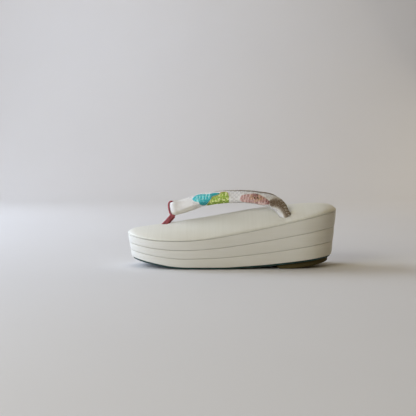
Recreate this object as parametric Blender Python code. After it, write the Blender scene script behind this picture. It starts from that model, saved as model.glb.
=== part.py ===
"""Zori sandal: a platform sole of wrapped layers with a padded top and a forked strap.

The toe points along -X, the heel along +X, and the shoe stands on z = 0, centred on y = 0.
Stations run from the toe, as shares of the length.
"""
import bisect
import math

import bmesh
import bpy
from mathutils import Vector

COLLECTION = "zori_sandal"
CUTTERS = "cutters"

# Plan of the sole, in metres
LENGTH = 0.240
BALL_WIDTH = 0.082
HEEL_WIDTH = 0.074
TOE_ROUND = 0.080
HEEL_ROUND = 0.052
TOE_FULLNESS = 2.2
HEEL_FULLNESS = 2.3

# Heights of the sole, in metres
HEEL_RISE = 0.0130
SEAM_HEIGHT = 0.0640
DOME_RISE = 0.0193
RIM_HEIGHT = 0.0030
OUTSOLE_THICKNESS = 0.0022
LOWER_SHARE = 0.320
MIDDLE_SHARE = 0.330

# How far the side wall leans in from the rim down to the bottom of the layers, its rounded
# edges, and how far the outsole lies in from it
TOE_LEAN = 0.0045
HEEL_LEAN = 0.0050
SIDE_LEAN = 0.0040
EDGE_ROUND = 0.0007
BOTTOM_ROUND = 0.0018
OUTSOLE_INSET = 0.0015
OUTSOLE_ROUND = 0.0004

# Heel lift, measured forward from its back edge
LIFT_LENGTH = 0.0615
LIFT_INSET = 0.0027
LIFT_FRONT_SLANT = 0.0040
LIFT_FLAT_LENGTH = 0.0140
LIFT_BACK_THICKNESS = 0.0042
LIFT_CURVE = 1.5

# Strap: places from the toe, and the sections of its padded tube
FOLD_FROM_TOE = 0.0558
FOLD_LIFT = 0.0160
FOLD_RADIUS = 0.0048
FOLD_PITCH = math.radians(10.0)
FOLD_HALF_WIDE = 0.0080
FOLD_HALF_THICK = 0.0024
FOLD_PINCH = 0.0013
FOLD_LEAD = 0.0024
FOLD_SWELL = 0.0003
STRAP_RUN = 0.1222
STRAP_SPREAD = 0.0257
STRAP_LIFT = 0.0220
STRAP_WIDTH = 0.0168
STRAP_THICKNESS = 0.0090
STRAP_FULLNESS = 2.3
STRAP_DEPTH = 0.0055
HOLE_ROWS = 5

# Front thong: a stem in the front hole and a flat band looped round the fold
THONG_FROM_TOE = 0.0446
THONG_DEPTH = 0.0080
STEM_WIDTH = 0.0056
STEM_BREADTH = 0.0064
BAND_THICKNESS = 0.0017
BAND_FRONT_BREADTH = 0.0060
BAND_BACK_BREADTH = 0.0029
BAND_BACK_SLACK = 0.0009
BAND_TAPER = 1.6

GAP = 0.0003
SHARP_ANGLE = math.radians(35.0)

# Fineness of the meshes
STATIONS = 34
DOME_ROWS = 5
STRAP_SIDES = 16
STRAP_STEPS = 3
FOLD_STEPS = 8
BAND_STEPS = 28
LIFT_STEPS = 14

# Sole from the side: outsole's underside, seam under the cushion and height of the dome,
# as shares of HEEL_RISE, SEAM_HEIGHT and DOME_RISE
SOLE_COLUMNS = ("along", "spring", "seam", "dome")
SOLE_ROWS = (
    (0.00, 0.780, 0.578, 0.000),
    (0.03, 0.685, 0.558, 0.240),
    (0.08, 0.490, 0.528, 0.450),
    (0.15, 0.255, 0.505, 0.655),
    (0.22, 0.065, 0.500, 0.790),
    (0.29, 0.000, 0.507, 0.910),
    (0.36, 0.000, 0.527, 0.980),
    (0.45, 0.000, 0.578, 1.000),
    (0.55, 0.085, 0.647, 1.000),
    (0.65, 0.210, 0.722, 0.945),
    (0.75, 0.400, 0.805, 0.810),
    (0.85, 0.615, 0.891, 0.630),
    (0.93, 0.815, 0.958, 0.415),
    (0.97, 0.905, 0.982, 0.265),
    (1.00, 1.000, 1.000, 0.000),
)

# One branch of the strap from the fold to its hole: shares of STRAP_RUN, STRAP_SPREAD,
# STRAP_LIFT above the cushion, STRAP_WIDTH and STRAP_THICKNESS, and the tilt in degrees
STRAP_COLUMNS = ("along", "out", "lift", "wide", "thick", "tilt")
STRAP_ROWS = (
    (0.078, 0.215, 0.770, 0.96, 0.78, 12.0),
    (0.150, 0.250, 0.850, 0.97, 0.92, 23.0),
    (0.222, 0.300, 0.950, 0.97, 1.00, 33.0),
    (0.315, 0.385, 0.995, 0.97, 1.00, 39.0),
    (0.425, 0.500, 1.010, 0.97, 1.00, 44.0),
    (0.595, 0.670, 0.955, 0.96, 1.00, 51.0),
    (0.705, 0.785, 0.890, 0.94, 1.00, 52.0),
    (0.815, 0.885, 0.775, 0.94, 1.00, 46.0),
    (0.889, 0.945, 0.655, 0.92, 1.00, 34.0),
    (0.934, 0.975, 0.500, 0.91, 0.99, 22.0),
    (0.974, 0.992, 0.260, 0.84, 0.97, 10.0),
    (1.000, 1.000, 0.000, 0.73, 0.94, 4.0),
)


def clear_scene():
    """Remove whatever the file already holds."""
    for old in list(bpy.data.objects):
        bpy.data.objects.remove(old, do_unlink=True)


def new_collection(name):
    """A collection linked to the scene."""
    collection = bpy.data.collections.new(name)
    bpy.context.scene.collection.children.link(collection)
    return collection


def new_material(name, colour, roughness):
    """A plain material with one colour."""
    material = bpy.data.materials.new(name)
    material.use_nodes = True
    shader = material.node_tree.nodes["Principled BSDF"]
    shader.inputs["Base Color"].default_value = (*colour, 1.0)
    shader.inputs["Roughness"].default_value = roughness
    shader.inputs["Metallic"].default_value = 0.0
    return material


def row_slopes(xs, ys):
    """Slopes at the rows that keep the curve between them from overshooting."""
    steps = [(ys[i + 1] - ys[i]) / (xs[i + 1] - xs[i]) for i in range(len(xs) - 1)]
    slopes = [steps[0]]
    for before, after in zip(steps, steps[1:]):
        if before * after <= 0.0:
            slopes.append(0.0)
        else:
            slopes.append(2.0 * before * after / (before + after))
    slopes.append(steps[-1])
    return slopes


def read_table(columns, rows, name, at):
    """The value of a named column at a station, on a smooth curve through the rows."""
    index = columns.index(name)
    xs = [row[0] for row in rows]
    ys = [row[index] for row in rows]
    slopes = row_slopes(xs, ys)
    i = min(max(bisect.bisect_right(xs, at) - 1, 0), len(xs) - 2)
    span = xs[i + 1] - xs[i]
    t = (at - xs[i]) / span
    start = (1 + 2 * t) * (1 - t) ** 2 * ys[i] + t * (1 - t) ** 2 * span * slopes[i]
    end = t * t * (3 - 2 * t) * ys[i + 1] + t * t * (t - 1) * span * slopes[i + 1]
    return start + end


def sole_value(name, along):
    """A column of the sole's table."""
    return read_table(SOLE_COLUMNS, SOLE_ROWS, name, along)


def half_width(along):
    """Half the plan width at the rim."""
    from_toe = along * LENGTH
    from_heel = LENGTH - from_toe
    if from_toe < TOE_ROUND:
        inner = 1.0 - from_toe / TOE_ROUND
        return BALL_WIDTH / 2 * max(0.0, 1.0 - inner ** TOE_FULLNESS) ** (1.0 / TOE_FULLNESS)
    if from_heel < HEEL_ROUND:
        inner = 1.0 - max(from_heel, 0.0) / HEEL_ROUND
        return HEEL_WIDTH / 2 * max(0.0, 1.0 - inner ** HEEL_FULLNESS) ** (1.0 / HEEL_FULLNESS)
    t = (from_toe - TOE_ROUND) / (LENGTH - HEEL_ROUND - TOE_ROUND)
    blend = t * t * (3.0 - 2.0 * t)
    return (BALL_WIDTH + (HEEL_WIDTH - BALL_WIDTH) * blend) / 2


def floor_side(along):
    """Height of the outsole's underside."""
    return HEEL_RISE * sole_value("spring", along)


def outsole_top(along):
    """Height of the outsole's upper face."""
    return floor_side(along) + OUTSOLE_THICKNESS


def body_bottom(along):
    """Height of the underside of the layers."""
    return outsole_top(along) + GAP


def seam(along):
    """Height of the seam between the layers and the cushion."""
    return SEAM_HEIGHT * sole_value("seam", along)


def layer_joint(share, along):
    """Height of a joint between two layers."""
    low = body_bottom(along)
    return low + share * (seam(along) - low)


def rim(along):
    """Height at which the cushion's side turns into its dome."""
    return seam(along) + RIM_HEIGHT


def cushion_top(along, y):
    """Height of the cushion's surface."""
    half = half_width(along)
    out = min(abs(y) / half, 1.0) if half > 0.0 else 1.0
    return rim(along) + DOME_RISE * sole_value("dome", along) * (1.0 - out * out)


def wall_point(along, side, height, inset):
    """A point of the leaning side wall at a height curve, moved in by an inset."""
    x = (along - 0.5) * LENGTH
    for _ in range(2):
        here = x / LENGTH + 0.5
        z = height(here)
        sink = (rim(here) - z) / (rim(here) - body_bottom(here))
        toe = TOE_LEAN * sink + inset
        heel = HEEL_LEAN * sink + inset
        x = toe + along * (LENGTH - toe - heel) - LENGTH / 2
    flank = SIDE_LEAN * sink + inset
    y = side * half_width(along) * (1.0 - flank / (BALL_WIDTH / 2))
    return Vector((x, y, height(x / LENGTH + 0.5)))


def stations(start=0.0, end=1.0, count=STATIONS):
    """Stations that crowd towards both round ends."""
    return [start + (end - start) * (1 - math.cos(math.pi * k / count)) / 2 for k in range(count + 1)]


def outline_ring(bm, height, inset):
    """Vertices round the whole outline, from the toe along +Y to the heel and back."""
    shares = stations()
    there = [(share, 1.0) for share in shares]
    back = [(share, -1.0) for share in reversed(shares[1:-1])]
    return [bm.verts.new(wall_point(along, side, height, inset)) for along, side in there + back]


def bridge(bm, low, high):
    """Faces between two closed rings with the same number of vertices."""
    count = len(low)
    for i in range(count):
        j = (i + 1) % count
        bm.faces.new((low[i], low[j], high[j], high[i]))


def close_across(bm, ring):
    """Faces straight across the shoe, from one side of a ring to the other."""
    last = len(ring) // 2
    for k in range(last):
        corners = [ring[k], ring[k + 1], ring[(-k - 1) % len(ring)], ring[-k % len(ring)]]
        bm.faces.new(list(dict.fromkeys(corners)))


def close_dome(bm, ring):
    """The cushion's domed top, as rows between the two sides of its rim."""
    shares = stations()
    last = len(ring) // 2
    rows = [[ring[0]]]
    for k in range(1, last):
        row = [ring[k]]
        edge = abs(ring[k].co.y)
        for j in range(DOME_ROWS - 1, -DOME_ROWS, -1):
            out = math.sin(math.pi / 2 * j / DOME_ROWS)
            y = edge * out
            top = cushion_top(shares[k], half_width(shares[k]) * out)
            row.append(bm.verts.new((ring[k].co.x, y, top)))
        row.append(ring[-k])
        rows.append(row)
    rows.append([ring[last]])
    for first, second in zip(rows, rows[1:]):
        if len(first) == 1:
            for a, b in zip(second, second[1:]):
                bm.faces.new((first[0], a, b))
        elif len(second) == 1:
            for a, b in zip(first, first[1:]):
                bm.faces.new((a, second[0], b))
        else:
            for a, b, c, d in zip(first, first[1:], second[1:], second):
                bm.faces.new((a, d, c, b))


def finish_object(bm, name, material, collection):
    """Turn the faces outward and link the mesh as a smooth object."""
    bmesh.ops.recalc_face_normals(bm, faces=bm.faces)
    mesh = bpy.data.meshes.new(name)
    bm.to_mesh(mesh)
    bm.free()
    mesh.materials.append(material)
    mesh.shade_smooth()
    mesh.set_sharp_from_angle(angle=SHARP_ANGLE)
    made = bpy.data.objects.new(name, mesh)
    collection.objects.link(made)
    return made


def build_slab(name, low, high, low_round, high_round, inset, material, collection):
    """A layer between two height curves, with its lower and upper edges turned in."""
    bm = bmesh.new()
    levels = (
        (low, inset + low_round),
        (lambda along: low(along) + low_round, inset),
        (lambda along: high(along) - high_round, inset),
        (high, inset + high_round),
    )
    rings = [outline_ring(bm, height, extra) for height, extra in levels]
    for lower, upper in zip(rings, rings[1:]):
        bridge(bm, lower, upper)
    close_across(bm, rings[0])
    close_across(bm, rings[-1])
    return finish_object(bm, name, material, collection)


def build_outsole(material, collection):
    """The thin sheet under the layers."""
    return build_slab("outsole", floor_side, outsole_top, OUTSOLE_ROUND, OUTSOLE_ROUND,
                      OUTSOLE_INSET, material, collection)


def build_layers(material, collection):
    """The three wrapped layers."""
    lower_joint = LOWER_SHARE
    upper_joint = LOWER_SHARE + MIDDLE_SHARE
    build_slab("lower_layer", body_bottom, lambda a: layer_joint(lower_joint, a) - GAP / 2,
               BOTTOM_ROUND, EDGE_ROUND, 0.0, material, collection)
    build_slab("middle_layer", lambda a: layer_joint(lower_joint, a) + GAP / 2,
               lambda a: layer_joint(upper_joint, a) - GAP / 2,
               EDGE_ROUND, EDGE_ROUND, 0.0, material, collection)
    build_slab("upper_layer", lambda a: layer_joint(upper_joint, a) + GAP / 2,
               lambda a: seam(a) - GAP / 2, EDGE_ROUND, EDGE_ROUND, 0.0, material, collection)


def build_cushion(material, collection):
    """The padded top, before its holes are cut."""
    bm = bmesh.new()
    levels = (
        (lambda along: seam(along) + GAP / 2, EDGE_ROUND),
        (lambda along: seam(along) + GAP / 2 + EDGE_ROUND, 0.0),
        (rim, 0.0),
    )
    rings = [outline_ring(bm, height, extra) for height, extra in levels]
    for lower, upper in zip(rings, rings[1:]):
        bridge(bm, lower, upper)
    close_across(bm, rings[0])
    close_dome(bm, rings[-1])
    return finish_object(bm, "top_cushion", material, collection)


def lift_bottom(from_front, back_rise):
    """Height of the lift's underside: flat, then curving up to the back."""
    past = max(from_front - LIFT_FLAT_LENGTH, 0.0)
    rest = LIFT_LENGTH - LIFT_FLAT_LENGTH
    return back_rise * (past / rest) ** LIFT_CURVE


def build_lift(material, collection):
    """The wedge under the heel, from its slanted front edge to the back."""
    bm = bmesh.new()
    inset = OUTSOLE_INSET + LIFT_INSET
    last = wall_point(1.0, 1.0, floor_side, inset)
    front = last.x - LIFT_LENGTH
    back_rise = last.z - GAP - LIFT_BACK_THICKNESS
    first = wall_point(0.0, 1.0, floor_side, inset)
    start = (front - first.x) / (last.x - first.x)
    rows = []
    for k in range(LIFT_STEPS + 1):
        along = start + (1.0 - start) * math.sin(math.pi / 2 * k / LIFT_STEPS)
        side = wall_point(along, 1.0, floor_side, inset)
        from_front = side.x - front
        slant = max(0.0, LIFT_FRONT_SLANT - from_front)
        top = side.z - GAP
        low = lift_bottom(from_front, back_rise)
        corners = ((slant, 1, low), (slant, -1, low), (0.0, -1, top), (0.0, 1, top))
        rows.append([bm.verts.new((side.x + shift, turn * side.y, z)) for shift, turn, z in corners])
    for first, second in zip(rows, rows[1:]):
        bridge(bm, first, second)
    bm.faces.new(rows[0])
    bmesh.ops.remove_doubles(bm, verts=bm.verts, dist=GAP / 10)
    return finish_object(bm, "heel_lift", material, collection)


def flat_oval(half_wide, half_thick, turn):
    """A point of a full oval and its outward normal, in the section's own plane."""
    power = 2.0 / STRAP_FULLNESS
    c, s = math.cos(turn), math.sin(turn)
    back = 2.0 - power
    point = Vector((math.copysign(abs(c) ** power, c), math.copysign(abs(s) ** power, s)))
    normal = Vector((math.copysign(abs(c) ** back, c) / half_wide,
                     math.copysign(abs(s) ** back, s) / half_thick))
    return Vector((point.x * half_wide, point.y * half_thick)), normal.normalized()


def oval_section(centre, major, minor, half_wide, half_thick, grow):
    """The tube's section round a centre, made larger all round by a distance."""
    points = []
    for k in range(STRAP_SIDES):
        at, normal = flat_oval(half_wide, half_thick, 2 * math.pi * (k + 0.5) / STRAP_SIDES)
        at = at + normal * grow
        points.append(centre + major * at.x + minor * at.y)
    return points


def loft(bm, sections):
    """A closed skin over a row of sections, with flat ends."""
    rings = [[bm.verts.new(point) for point in section] for section in sections]
    for first, second in zip(rings, rings[1:]):
        bridge(bm, first, second)
    bm.faces.new(rings[0])
    bm.faces.new(list(reversed(rings[-1])))


def smooth_points(points, steps):
    """Points on a smooth curve through the given ones, as vectors of any length."""
    ends = [points[0] * 2 - points[1]] + list(points) + [points[-1] * 2 - points[-2]]
    curve = []
    for i in range(1, len(ends) - 2):
        a, b, c, d = ends[i - 1:i + 3]
        for k in range(steps):
            t = k / steps
            curve.append(0.5 * (2 * b + (c - a) * t + (2 * a - 5 * b + 4 * c - d) * t * t
                                + (3 * b - a - 3 * c + d) * t ** 3))
    curve.append(points[-1].copy())
    return curve


def fold_frame():
    """The fold's centre and the directions along and across its plane."""
    x = FOLD_FROM_TOE - LENGTH / 2
    z = cushion_top(FOLD_FROM_TOE / LENGTH, 0.0) + FOLD_LIFT
    along = Vector((math.cos(FOLD_PITCH), 0.0, math.sin(FOLD_PITCH)))
    across = Vector((-math.sin(FOLD_PITCH), 0.0, math.cos(FOLD_PITCH)))
    return Vector((x, 0.0, z)), along, across


def branch_rows():
    """Centre, half width, half thickness and tilt of one branch, as vectors of six numbers."""
    centre, along, _ = fold_frame()
    first = centre + Vector((0.0, FOLD_RADIUS, 0.0))
    lead = first + along * FOLD_LEAD
    rows = [Vector((*first, FOLD_HALF_WIDE, FOLD_HALF_THICK, 0.0)),
            Vector((*lead, FOLD_HALF_WIDE, FOLD_HALF_THICK + FOLD_SWELL, 0.0))]
    for row in STRAP_ROWS:
        share = dict(zip(STRAP_COLUMNS, row))
        x = first.x + share["along"] * STRAP_RUN
        y = share["out"] * STRAP_SPREAD
        z = cushion_top(0.5 + x / LENGTH, y) + share["lift"] * STRAP_LIFT
        half_wide = share["wide"] * STRAP_WIDTH / 2
        half_thick = share["thick"] * STRAP_THICKNESS / 2
        rows.append(Vector((x, y, z, half_wide, half_thick, share["tilt"])))
    heading = (rows[-1] - rows[-2]).to_3d().normalized()
    end = rows[-1].copy()
    for axis in range(3):
        end[axis] += heading[axis] * STRAP_DEPTH
    rows.append(end)
    return rows


def branch_sections(rows, grow, extra_end):
    """Sections along one branch, on the +Y side."""
    curve = smooth_points(rows, STRAP_STEPS)
    sections = []
    for i, value in enumerate(curve):
        before, after = curve[max(i - 1, 0)], curve[min(i + 1, len(curve) - 1)]
        heading = (after - before).to_3d().normalized()
        centre = value.to_3d()
        if i == len(curve) - 1:
            centre = centre + heading * extra_end
        upright = (Vector((0, 0, 1)) - heading * heading.z).normalized()
        outward = heading.cross(upright)
        if outward.y < 0.0:
            outward.negate()
        tilt = math.radians(value[5])
        major = upright * math.cos(tilt) - outward * math.sin(tilt)
        minor = outward * math.cos(tilt) + upright * math.sin(tilt)
        sections.append(oval_section(centre, major, minor, value[3], value[4], grow))
    return sections


def mirrored(section):
    """A section reflected to the other side of the shoe, in the same walking order."""
    return [Vector((p.x, -p.y, p.z)) for p in section]


def fold_sections():
    """Sections round the front fold, without its two ends."""
    centre, along, across = fold_frame()
    sections = []
    for k in range(1, FOLD_STEPS):
        turn = math.pi * k / FOLD_STEPS
        radial = Vector((0, 1, 0)) * math.cos(turn) - along * math.sin(turn)
        spot = centre + radial * FOLD_RADIUS
        half_wide = FOLD_HALF_WIDE - FOLD_PINCH * math.sin(turn) ** 2
        sections.append(oval_section(spot, across, radial, half_wide, FOLD_HALF_THICK, 0.0))
    return sections


def build_strap(material, collection):
    """The padded tube, from one rear hole round the fold to the other."""
    bm = bmesh.new()
    far = branch_sections(branch_rows(), 0.0, 0.0)
    near = [mirrored(section) for section in far]
    loft(bm, list(reversed(far)) + fold_sections() + near)
    return finish_object(bm, "strap", material, collection)


def band_ring(bm, turn):
    """One section of the thong's band at a turn round the fold's front."""
    centre, along, across = fold_frame()
    nose = centre - along * FOLD_RADIUS
    at, normal = flat_oval(FOLD_HALF_WIDE - FOLD_PINCH, FOLD_HALF_THICK, turn)
    behind = (1.0 + math.sin(turn)) / 2
    narrowing = min(1.0, BAND_TAPER * behind)
    breadth = BAND_FRONT_BREADTH + (BAND_BACK_BREADTH - BAND_FRONT_BREADTH) * narrowing
    slack = GAP + BAND_BACK_SLACK * behind
    inner = at + normal * slack
    outer = at + normal * (slack + BAND_THICKNESS)
    ring = []
    for spot, side in ((inner, -1), (inner, 1), (outer, 1), (outer, -1)):
        place = nose + across * spot.x + along * spot.y
        ring.append(bm.verts.new(place + Vector((0, side * breadth / 2, 0))))
    return ring


def stem_rows():
    """Centres of the thong's stem, from inside the front hole to the fold's underside."""
    centre, along, across = fold_frame()
    hole = Vector((THONG_FROM_TOE - LENGTH / 2, 0.0, cushion_top(THONG_FROM_TOE / LENGTH, 0.0)))
    drop = FOLD_HALF_WIDE - FOLD_PINCH + GAP + BAND_THICKNESS / 2
    under = centre - along * FOLD_RADIUS - across * drop
    rise = (under - hole).normalized()
    return [hole - rise * THONG_DEPTH, hole, (hole + under) / 2, under]


def stem_sections(rows, grow, extra_end):
    """Round sections along the stem."""
    heading = (rows[-1] - rows[0]).normalized()
    major = Vector((heading.z, 0.0, -heading.x))
    sections = []
    for i, centre in enumerate(rows):
        spot = centre - heading * extra_end if i == 0 else centre
        ring = []
        for k in range(STRAP_SIDES):
            turn = 2 * math.pi * k / STRAP_SIDES
            wide = (STEM_WIDTH / 2 + grow) * math.cos(turn)
            broad = (STEM_BREADTH / 2 + grow) * math.sin(turn)
            ring.append(spot + major * wide + Vector((0, broad, 0)))
        sections.append(ring)
    return sections


def build_thong(material, collection, cutters):
    """The band looped round the fold, joined to the stem."""
    bm = bmesh.new()
    rings = [band_ring(bm, 2 * math.pi * k / BAND_STEPS) for k in range(BAND_STEPS)]
    for first, second in zip(rings, rings[1:] + rings[:1]):
        bridge(bm, first, second)
    band = finish_object(bm, "front_thong", material, collection)
    bm = bmesh.new()
    loft(bm, stem_sections(stem_rows(), 0.0, 0.0))
    stem = finish_object(bm, "thong_stem", material, cutters)
    hide(stem)
    combine(band, stem, "UNION")
    return band


def hide(tool):
    """Show a cutter as wires only."""
    tool.hide_render = True
    tool.display_type = "WIRE"


def combine(target, tool, operation):
    """Add a Boolean modifier."""
    cut = target.modifiers.new(tool.name, "BOOLEAN")
    cut.operation = operation
    cut.solver = "EXACT"
    cut.object = tool


def cut_holes(cushion, material, cutters):
    """Cut the cushion with the strap's ends and the stem, each grown by the gap."""
    ends = branch_sections(branch_rows()[-HOLE_ROWS:], GAP, GAP)
    stem = stem_sections(stem_rows(), GAP, GAP)
    tools = {
        "far_hole": ends,
        "near_hole": [mirrored(section) for section in ends],
        "front_hole": stem,
    }
    for name, sections in tools.items():
        bm = bmesh.new()
        loft(bm, sections)
        tool = finish_object(bm, name, material, cutters)
        hide(tool)
        combine(cushion, tool, "DIFFERENCE")


def main():
    """Build the whole shoe."""
    clear_scene()
    collection = new_collection(COLLECTION)
    cutters = new_collection(CUTTERS)
    cover = new_material("wrapped_cover", (0.72, 0.70, 0.62), 0.55)
    padding = new_material("cushion_cover", (0.76, 0.74, 0.66), 0.60)
    brocade = new_material("brocade", (0.78, 0.77, 0.74), 0.50)
    burgundy = new_material("burgundy_band", (0.20, 0.03, 0.04), 0.65)
    dark_rubber = new_material("dark_rubber", (0.02, 0.035, 0.035), 0.60)
    olive_rubber = new_material("olive_rubber", (0.13, 0.11, 0.05), 0.75)
    build_outsole(dark_rubber, collection)
    build_lift(olive_rubber, collection)
    build_layers(cover, collection)
    cushion = build_cushion(padding, collection)
    build_strap(brocade, collection)
    build_thong(burgundy, collection, cutters)
    cut_holes(cushion, padding, cutters)


main()
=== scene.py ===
"""Zori sandal: the finish of every surface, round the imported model.

The toe points along -X, the heel along +X, and the shoe stands on z = 0. Lengths are in metres.
"""

import math

import bpy
import bmesh
import numpy as np
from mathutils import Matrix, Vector


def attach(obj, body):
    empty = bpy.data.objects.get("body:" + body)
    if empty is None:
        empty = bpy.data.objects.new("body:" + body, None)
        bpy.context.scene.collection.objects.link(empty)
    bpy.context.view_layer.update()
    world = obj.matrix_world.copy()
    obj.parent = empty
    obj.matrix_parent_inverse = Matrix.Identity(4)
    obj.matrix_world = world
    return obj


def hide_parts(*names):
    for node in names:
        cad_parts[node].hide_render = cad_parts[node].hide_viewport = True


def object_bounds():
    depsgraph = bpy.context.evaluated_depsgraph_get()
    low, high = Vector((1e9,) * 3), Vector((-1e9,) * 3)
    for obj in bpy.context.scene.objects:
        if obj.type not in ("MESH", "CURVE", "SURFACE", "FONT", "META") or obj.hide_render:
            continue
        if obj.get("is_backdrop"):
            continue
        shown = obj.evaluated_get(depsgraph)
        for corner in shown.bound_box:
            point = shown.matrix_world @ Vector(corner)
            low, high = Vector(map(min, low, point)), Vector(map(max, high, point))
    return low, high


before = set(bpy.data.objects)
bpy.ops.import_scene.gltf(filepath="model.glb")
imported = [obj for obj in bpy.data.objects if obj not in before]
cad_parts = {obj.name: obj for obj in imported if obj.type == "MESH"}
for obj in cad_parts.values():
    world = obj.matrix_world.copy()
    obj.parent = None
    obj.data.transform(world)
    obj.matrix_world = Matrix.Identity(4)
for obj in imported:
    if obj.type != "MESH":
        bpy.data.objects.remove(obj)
CAD_LOW, CAD_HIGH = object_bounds()

MM = 0.001
LENGTH = CAD_HIGH.x - CAD_LOW.x
BALL_WIDTH = CAD_HIGH.y - CAD_LOW.y

# Plan and heights of the sole
HEEL_WIDTH = 0.074
TOE_ROUND = 0.080
HEEL_ROUND = 0.052
TOE_FULLNESS = 2.2
HEEL_FULLNESS = 2.3
HEEL_RISE = 0.0130
SEAM_HEIGHT = 0.0640
DOME_RISE = 0.0193
RIM_HEIGHT = 0.0030
OUTSOLE_THICKNESS = 0.0022
LOWER_SHARE = 0.320
MIDDLE_SHARE = 0.330
TOE_LEAN = 0.0045
HEEL_LEAN = 0.0050
SIDE_LEAN = 0.0040
OUTSOLE_INSET = 0.0015
GAP = 0.0003
WELD = 0.000001

# Sole from the side, as shares of HEEL_RISE, SEAM_HEIGHT and DOME_RISE
SOLE_COLUMNS = ("along", "spring", "seam", "dome")
SOLE_ROWS = (
    (0.00, 0.780, 0.578, 0.000),
    (0.03, 0.685, 0.558, 0.240),
    (0.08, 0.490, 0.528, 0.450),
    (0.15, 0.255, 0.505, 0.655),
    (0.22, 0.065, 0.500, 0.790),
    (0.29, 0.000, 0.507, 0.910),
    (0.36, 0.000, 0.527, 0.980),
    (0.45, 0.000, 0.578, 1.000),
    (0.55, 0.085, 0.647, 1.000),
    (0.65, 0.210, 0.722, 0.945),
    (0.75, 0.400, 0.805, 0.810),
    (0.85, 0.615, 0.891, 0.630),
    (0.93, 0.815, 0.958, 0.415),
    (0.97, 0.905, 0.982, 0.265),
    (1.00, 1.000, 1.000, 0.000),
)

# Wrapped layers: the rounding of an edge is its height and width
WRAP_EDGE = (0.00040, 0.00040)
WRAP_PUFF = 0.00022
WRAP_RIPPLE = 0.00007
WRAP_STATIONS = 150
WRAP_ROWS = 7
WRAP_WAVES = (3.1, 7.3, 12.7, 21.0)
ROUND_STEPS = 4

# Cushion: its soft shoulder in mm down and in mm inward, and the spine that its rings shrink to
SHOULDER_COLUMNS = ("along", "drop", "reach")
SHOULDER_ROWS = (
    (0.00, 1.3, 4.0),
    (0.10, 2.0, 9.0),
    (0.22, 2.3, 12.0),
    (0.36, 2.0, 9.0),
    (0.45, 1.2, 4.0),
    (0.60, 1.0, 2.5),
    (0.80, 1.4, 4.0),
    (1.00, 1.6, 4.0),
)
SPINE_START = 0.20
SPINE_END = 0.84
DOME_RINGS = 34
HOLE_REACH = 0.0052
HOLE_SINK = 0.0018
REAR_HOLE_SCALE = 1.5
PUCKERS = 9
PUCKER_DEPTH = 0.00022
BROW_SHARES = (0.30, 0.50, 0.70, 0.85)

# Rounding of the other edges: height and width
OUTSOLE_BELLY = (0.0009, 0.0030)
OUTSOLE_BROW = (0.0003, 0.0003)
LIFT_BELLY = (0.0012, 0.0030)

# Heel lift
LIFT_LENGTH = 0.0615
LIFT_INSET = 0.0027
LIFT_FRONT_SLANT = 0.0040
LIFT_FLAT_LENGTH = 0.0140
LIFT_BACK_THICKNESS = 0.0042
LIFT_CURVE = 1.5
LIFT_STEPS = 40
LIFT_ROUND = 0.0004

# Strap
FOLD_FROM_TOE = 0.0558
FOLD_LIFT = 0.0160
FOLD_RADIUS = 0.0048
FOLD_PITCH = math.radians(10.0)
FOLD_HALF_WIDE = 0.0080
FOLD_HALF_THICK = 0.0024
FOLD_PINCH = 0.0013
FOLD_LEAD = 0.0024
FOLD_SWELL = 0.0003
STRAP_RUN = 0.1222
STRAP_SPREAD = 0.0257
STRAP_LIFT = 0.0220
STRAP_WIDTH = 0.0168
STRAP_THICKNESS = 0.0090
STRAP_FULLNESS = 2.3
STRAP_DEPTH = 0.0055
STRAP_SIDES = 72
STRAP_STEPS = 16
FOLD_STEPS = 28
HOLE_ROWS = 5
HOLE_STEPS = 6
CUTTER_SIDES = 32
CUTTER_STEPS = 4
OVAL_GIRTH = 0.78

# One branch of the strap from the fold to its hole: shares of STRAP_RUN, STRAP_SPREAD,
# STRAP_LIFT above the cushion, STRAP_WIDTH and STRAP_THICKNESS, and the tilt in degrees
STRAP_COLUMNS = ("along", "out", "lift", "wide", "thick", "tilt")
STRAP_ROWS = (
    (0.078, 0.215, 0.770, 0.96, 0.78, 12.0),
    (0.150, 0.250, 0.850, 0.97, 0.92, 23.0),
    (0.222, 0.300, 0.950, 0.97, 1.00, 33.0),
    (0.315, 0.385, 0.995, 0.97, 1.00, 39.0),
    (0.425, 0.500, 1.010, 0.97, 1.00, 44.0),
    (0.595, 0.670, 0.955, 0.96, 1.00, 51.0),
    (0.705, 0.785, 0.890, 0.94, 1.00, 52.0),
    (0.815, 0.885, 0.775, 0.94, 1.00, 46.0),
    (0.889, 0.945, 0.655, 0.92, 1.00, 34.0),
    (0.934, 0.975, 0.500, 0.91, 0.99, 22.0),
    (0.974, 0.992, 0.260, 0.84, 0.97, 10.0),
    (1.000, 1.000, 0.000, 0.73, 0.94, 4.0),
)

# Creases of the strap: place along a branch in mm and round its section in degrees (0 is
# the upper edge, 90 the outer face, 180 the lower edge), their reach each way and depth
CREASE_COLUMNS = ("along", "turn", "long", "round", "depth")
CREASE_ROWS = (
    (6.0, 62.0, 6.0, 9.0, 0.30),
    (3.0, 150.0, 5.0, 9.0, 0.30),
    (31.0, 172.0, 10.0, 16.0, 0.30),
    (106.8, 140.0, 1.5, 46.0, 0.45),
    (108.6, 60.0, 1.5, 30.0, 0.20),
    (113.0, 190.0, 1.5, 34.0, 0.50),
    (118.0, 172.0, 1.4, 34.0, 0.50),
    (123.0, 164.0, 1.4, 30.0, 0.45),
    (121.0, 40.0, 2.6, 20.0, 0.20),
    (129.5, 130.0, 1.6, 40.0, 0.34),
)
CREASE_LIP = 0.22

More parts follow.
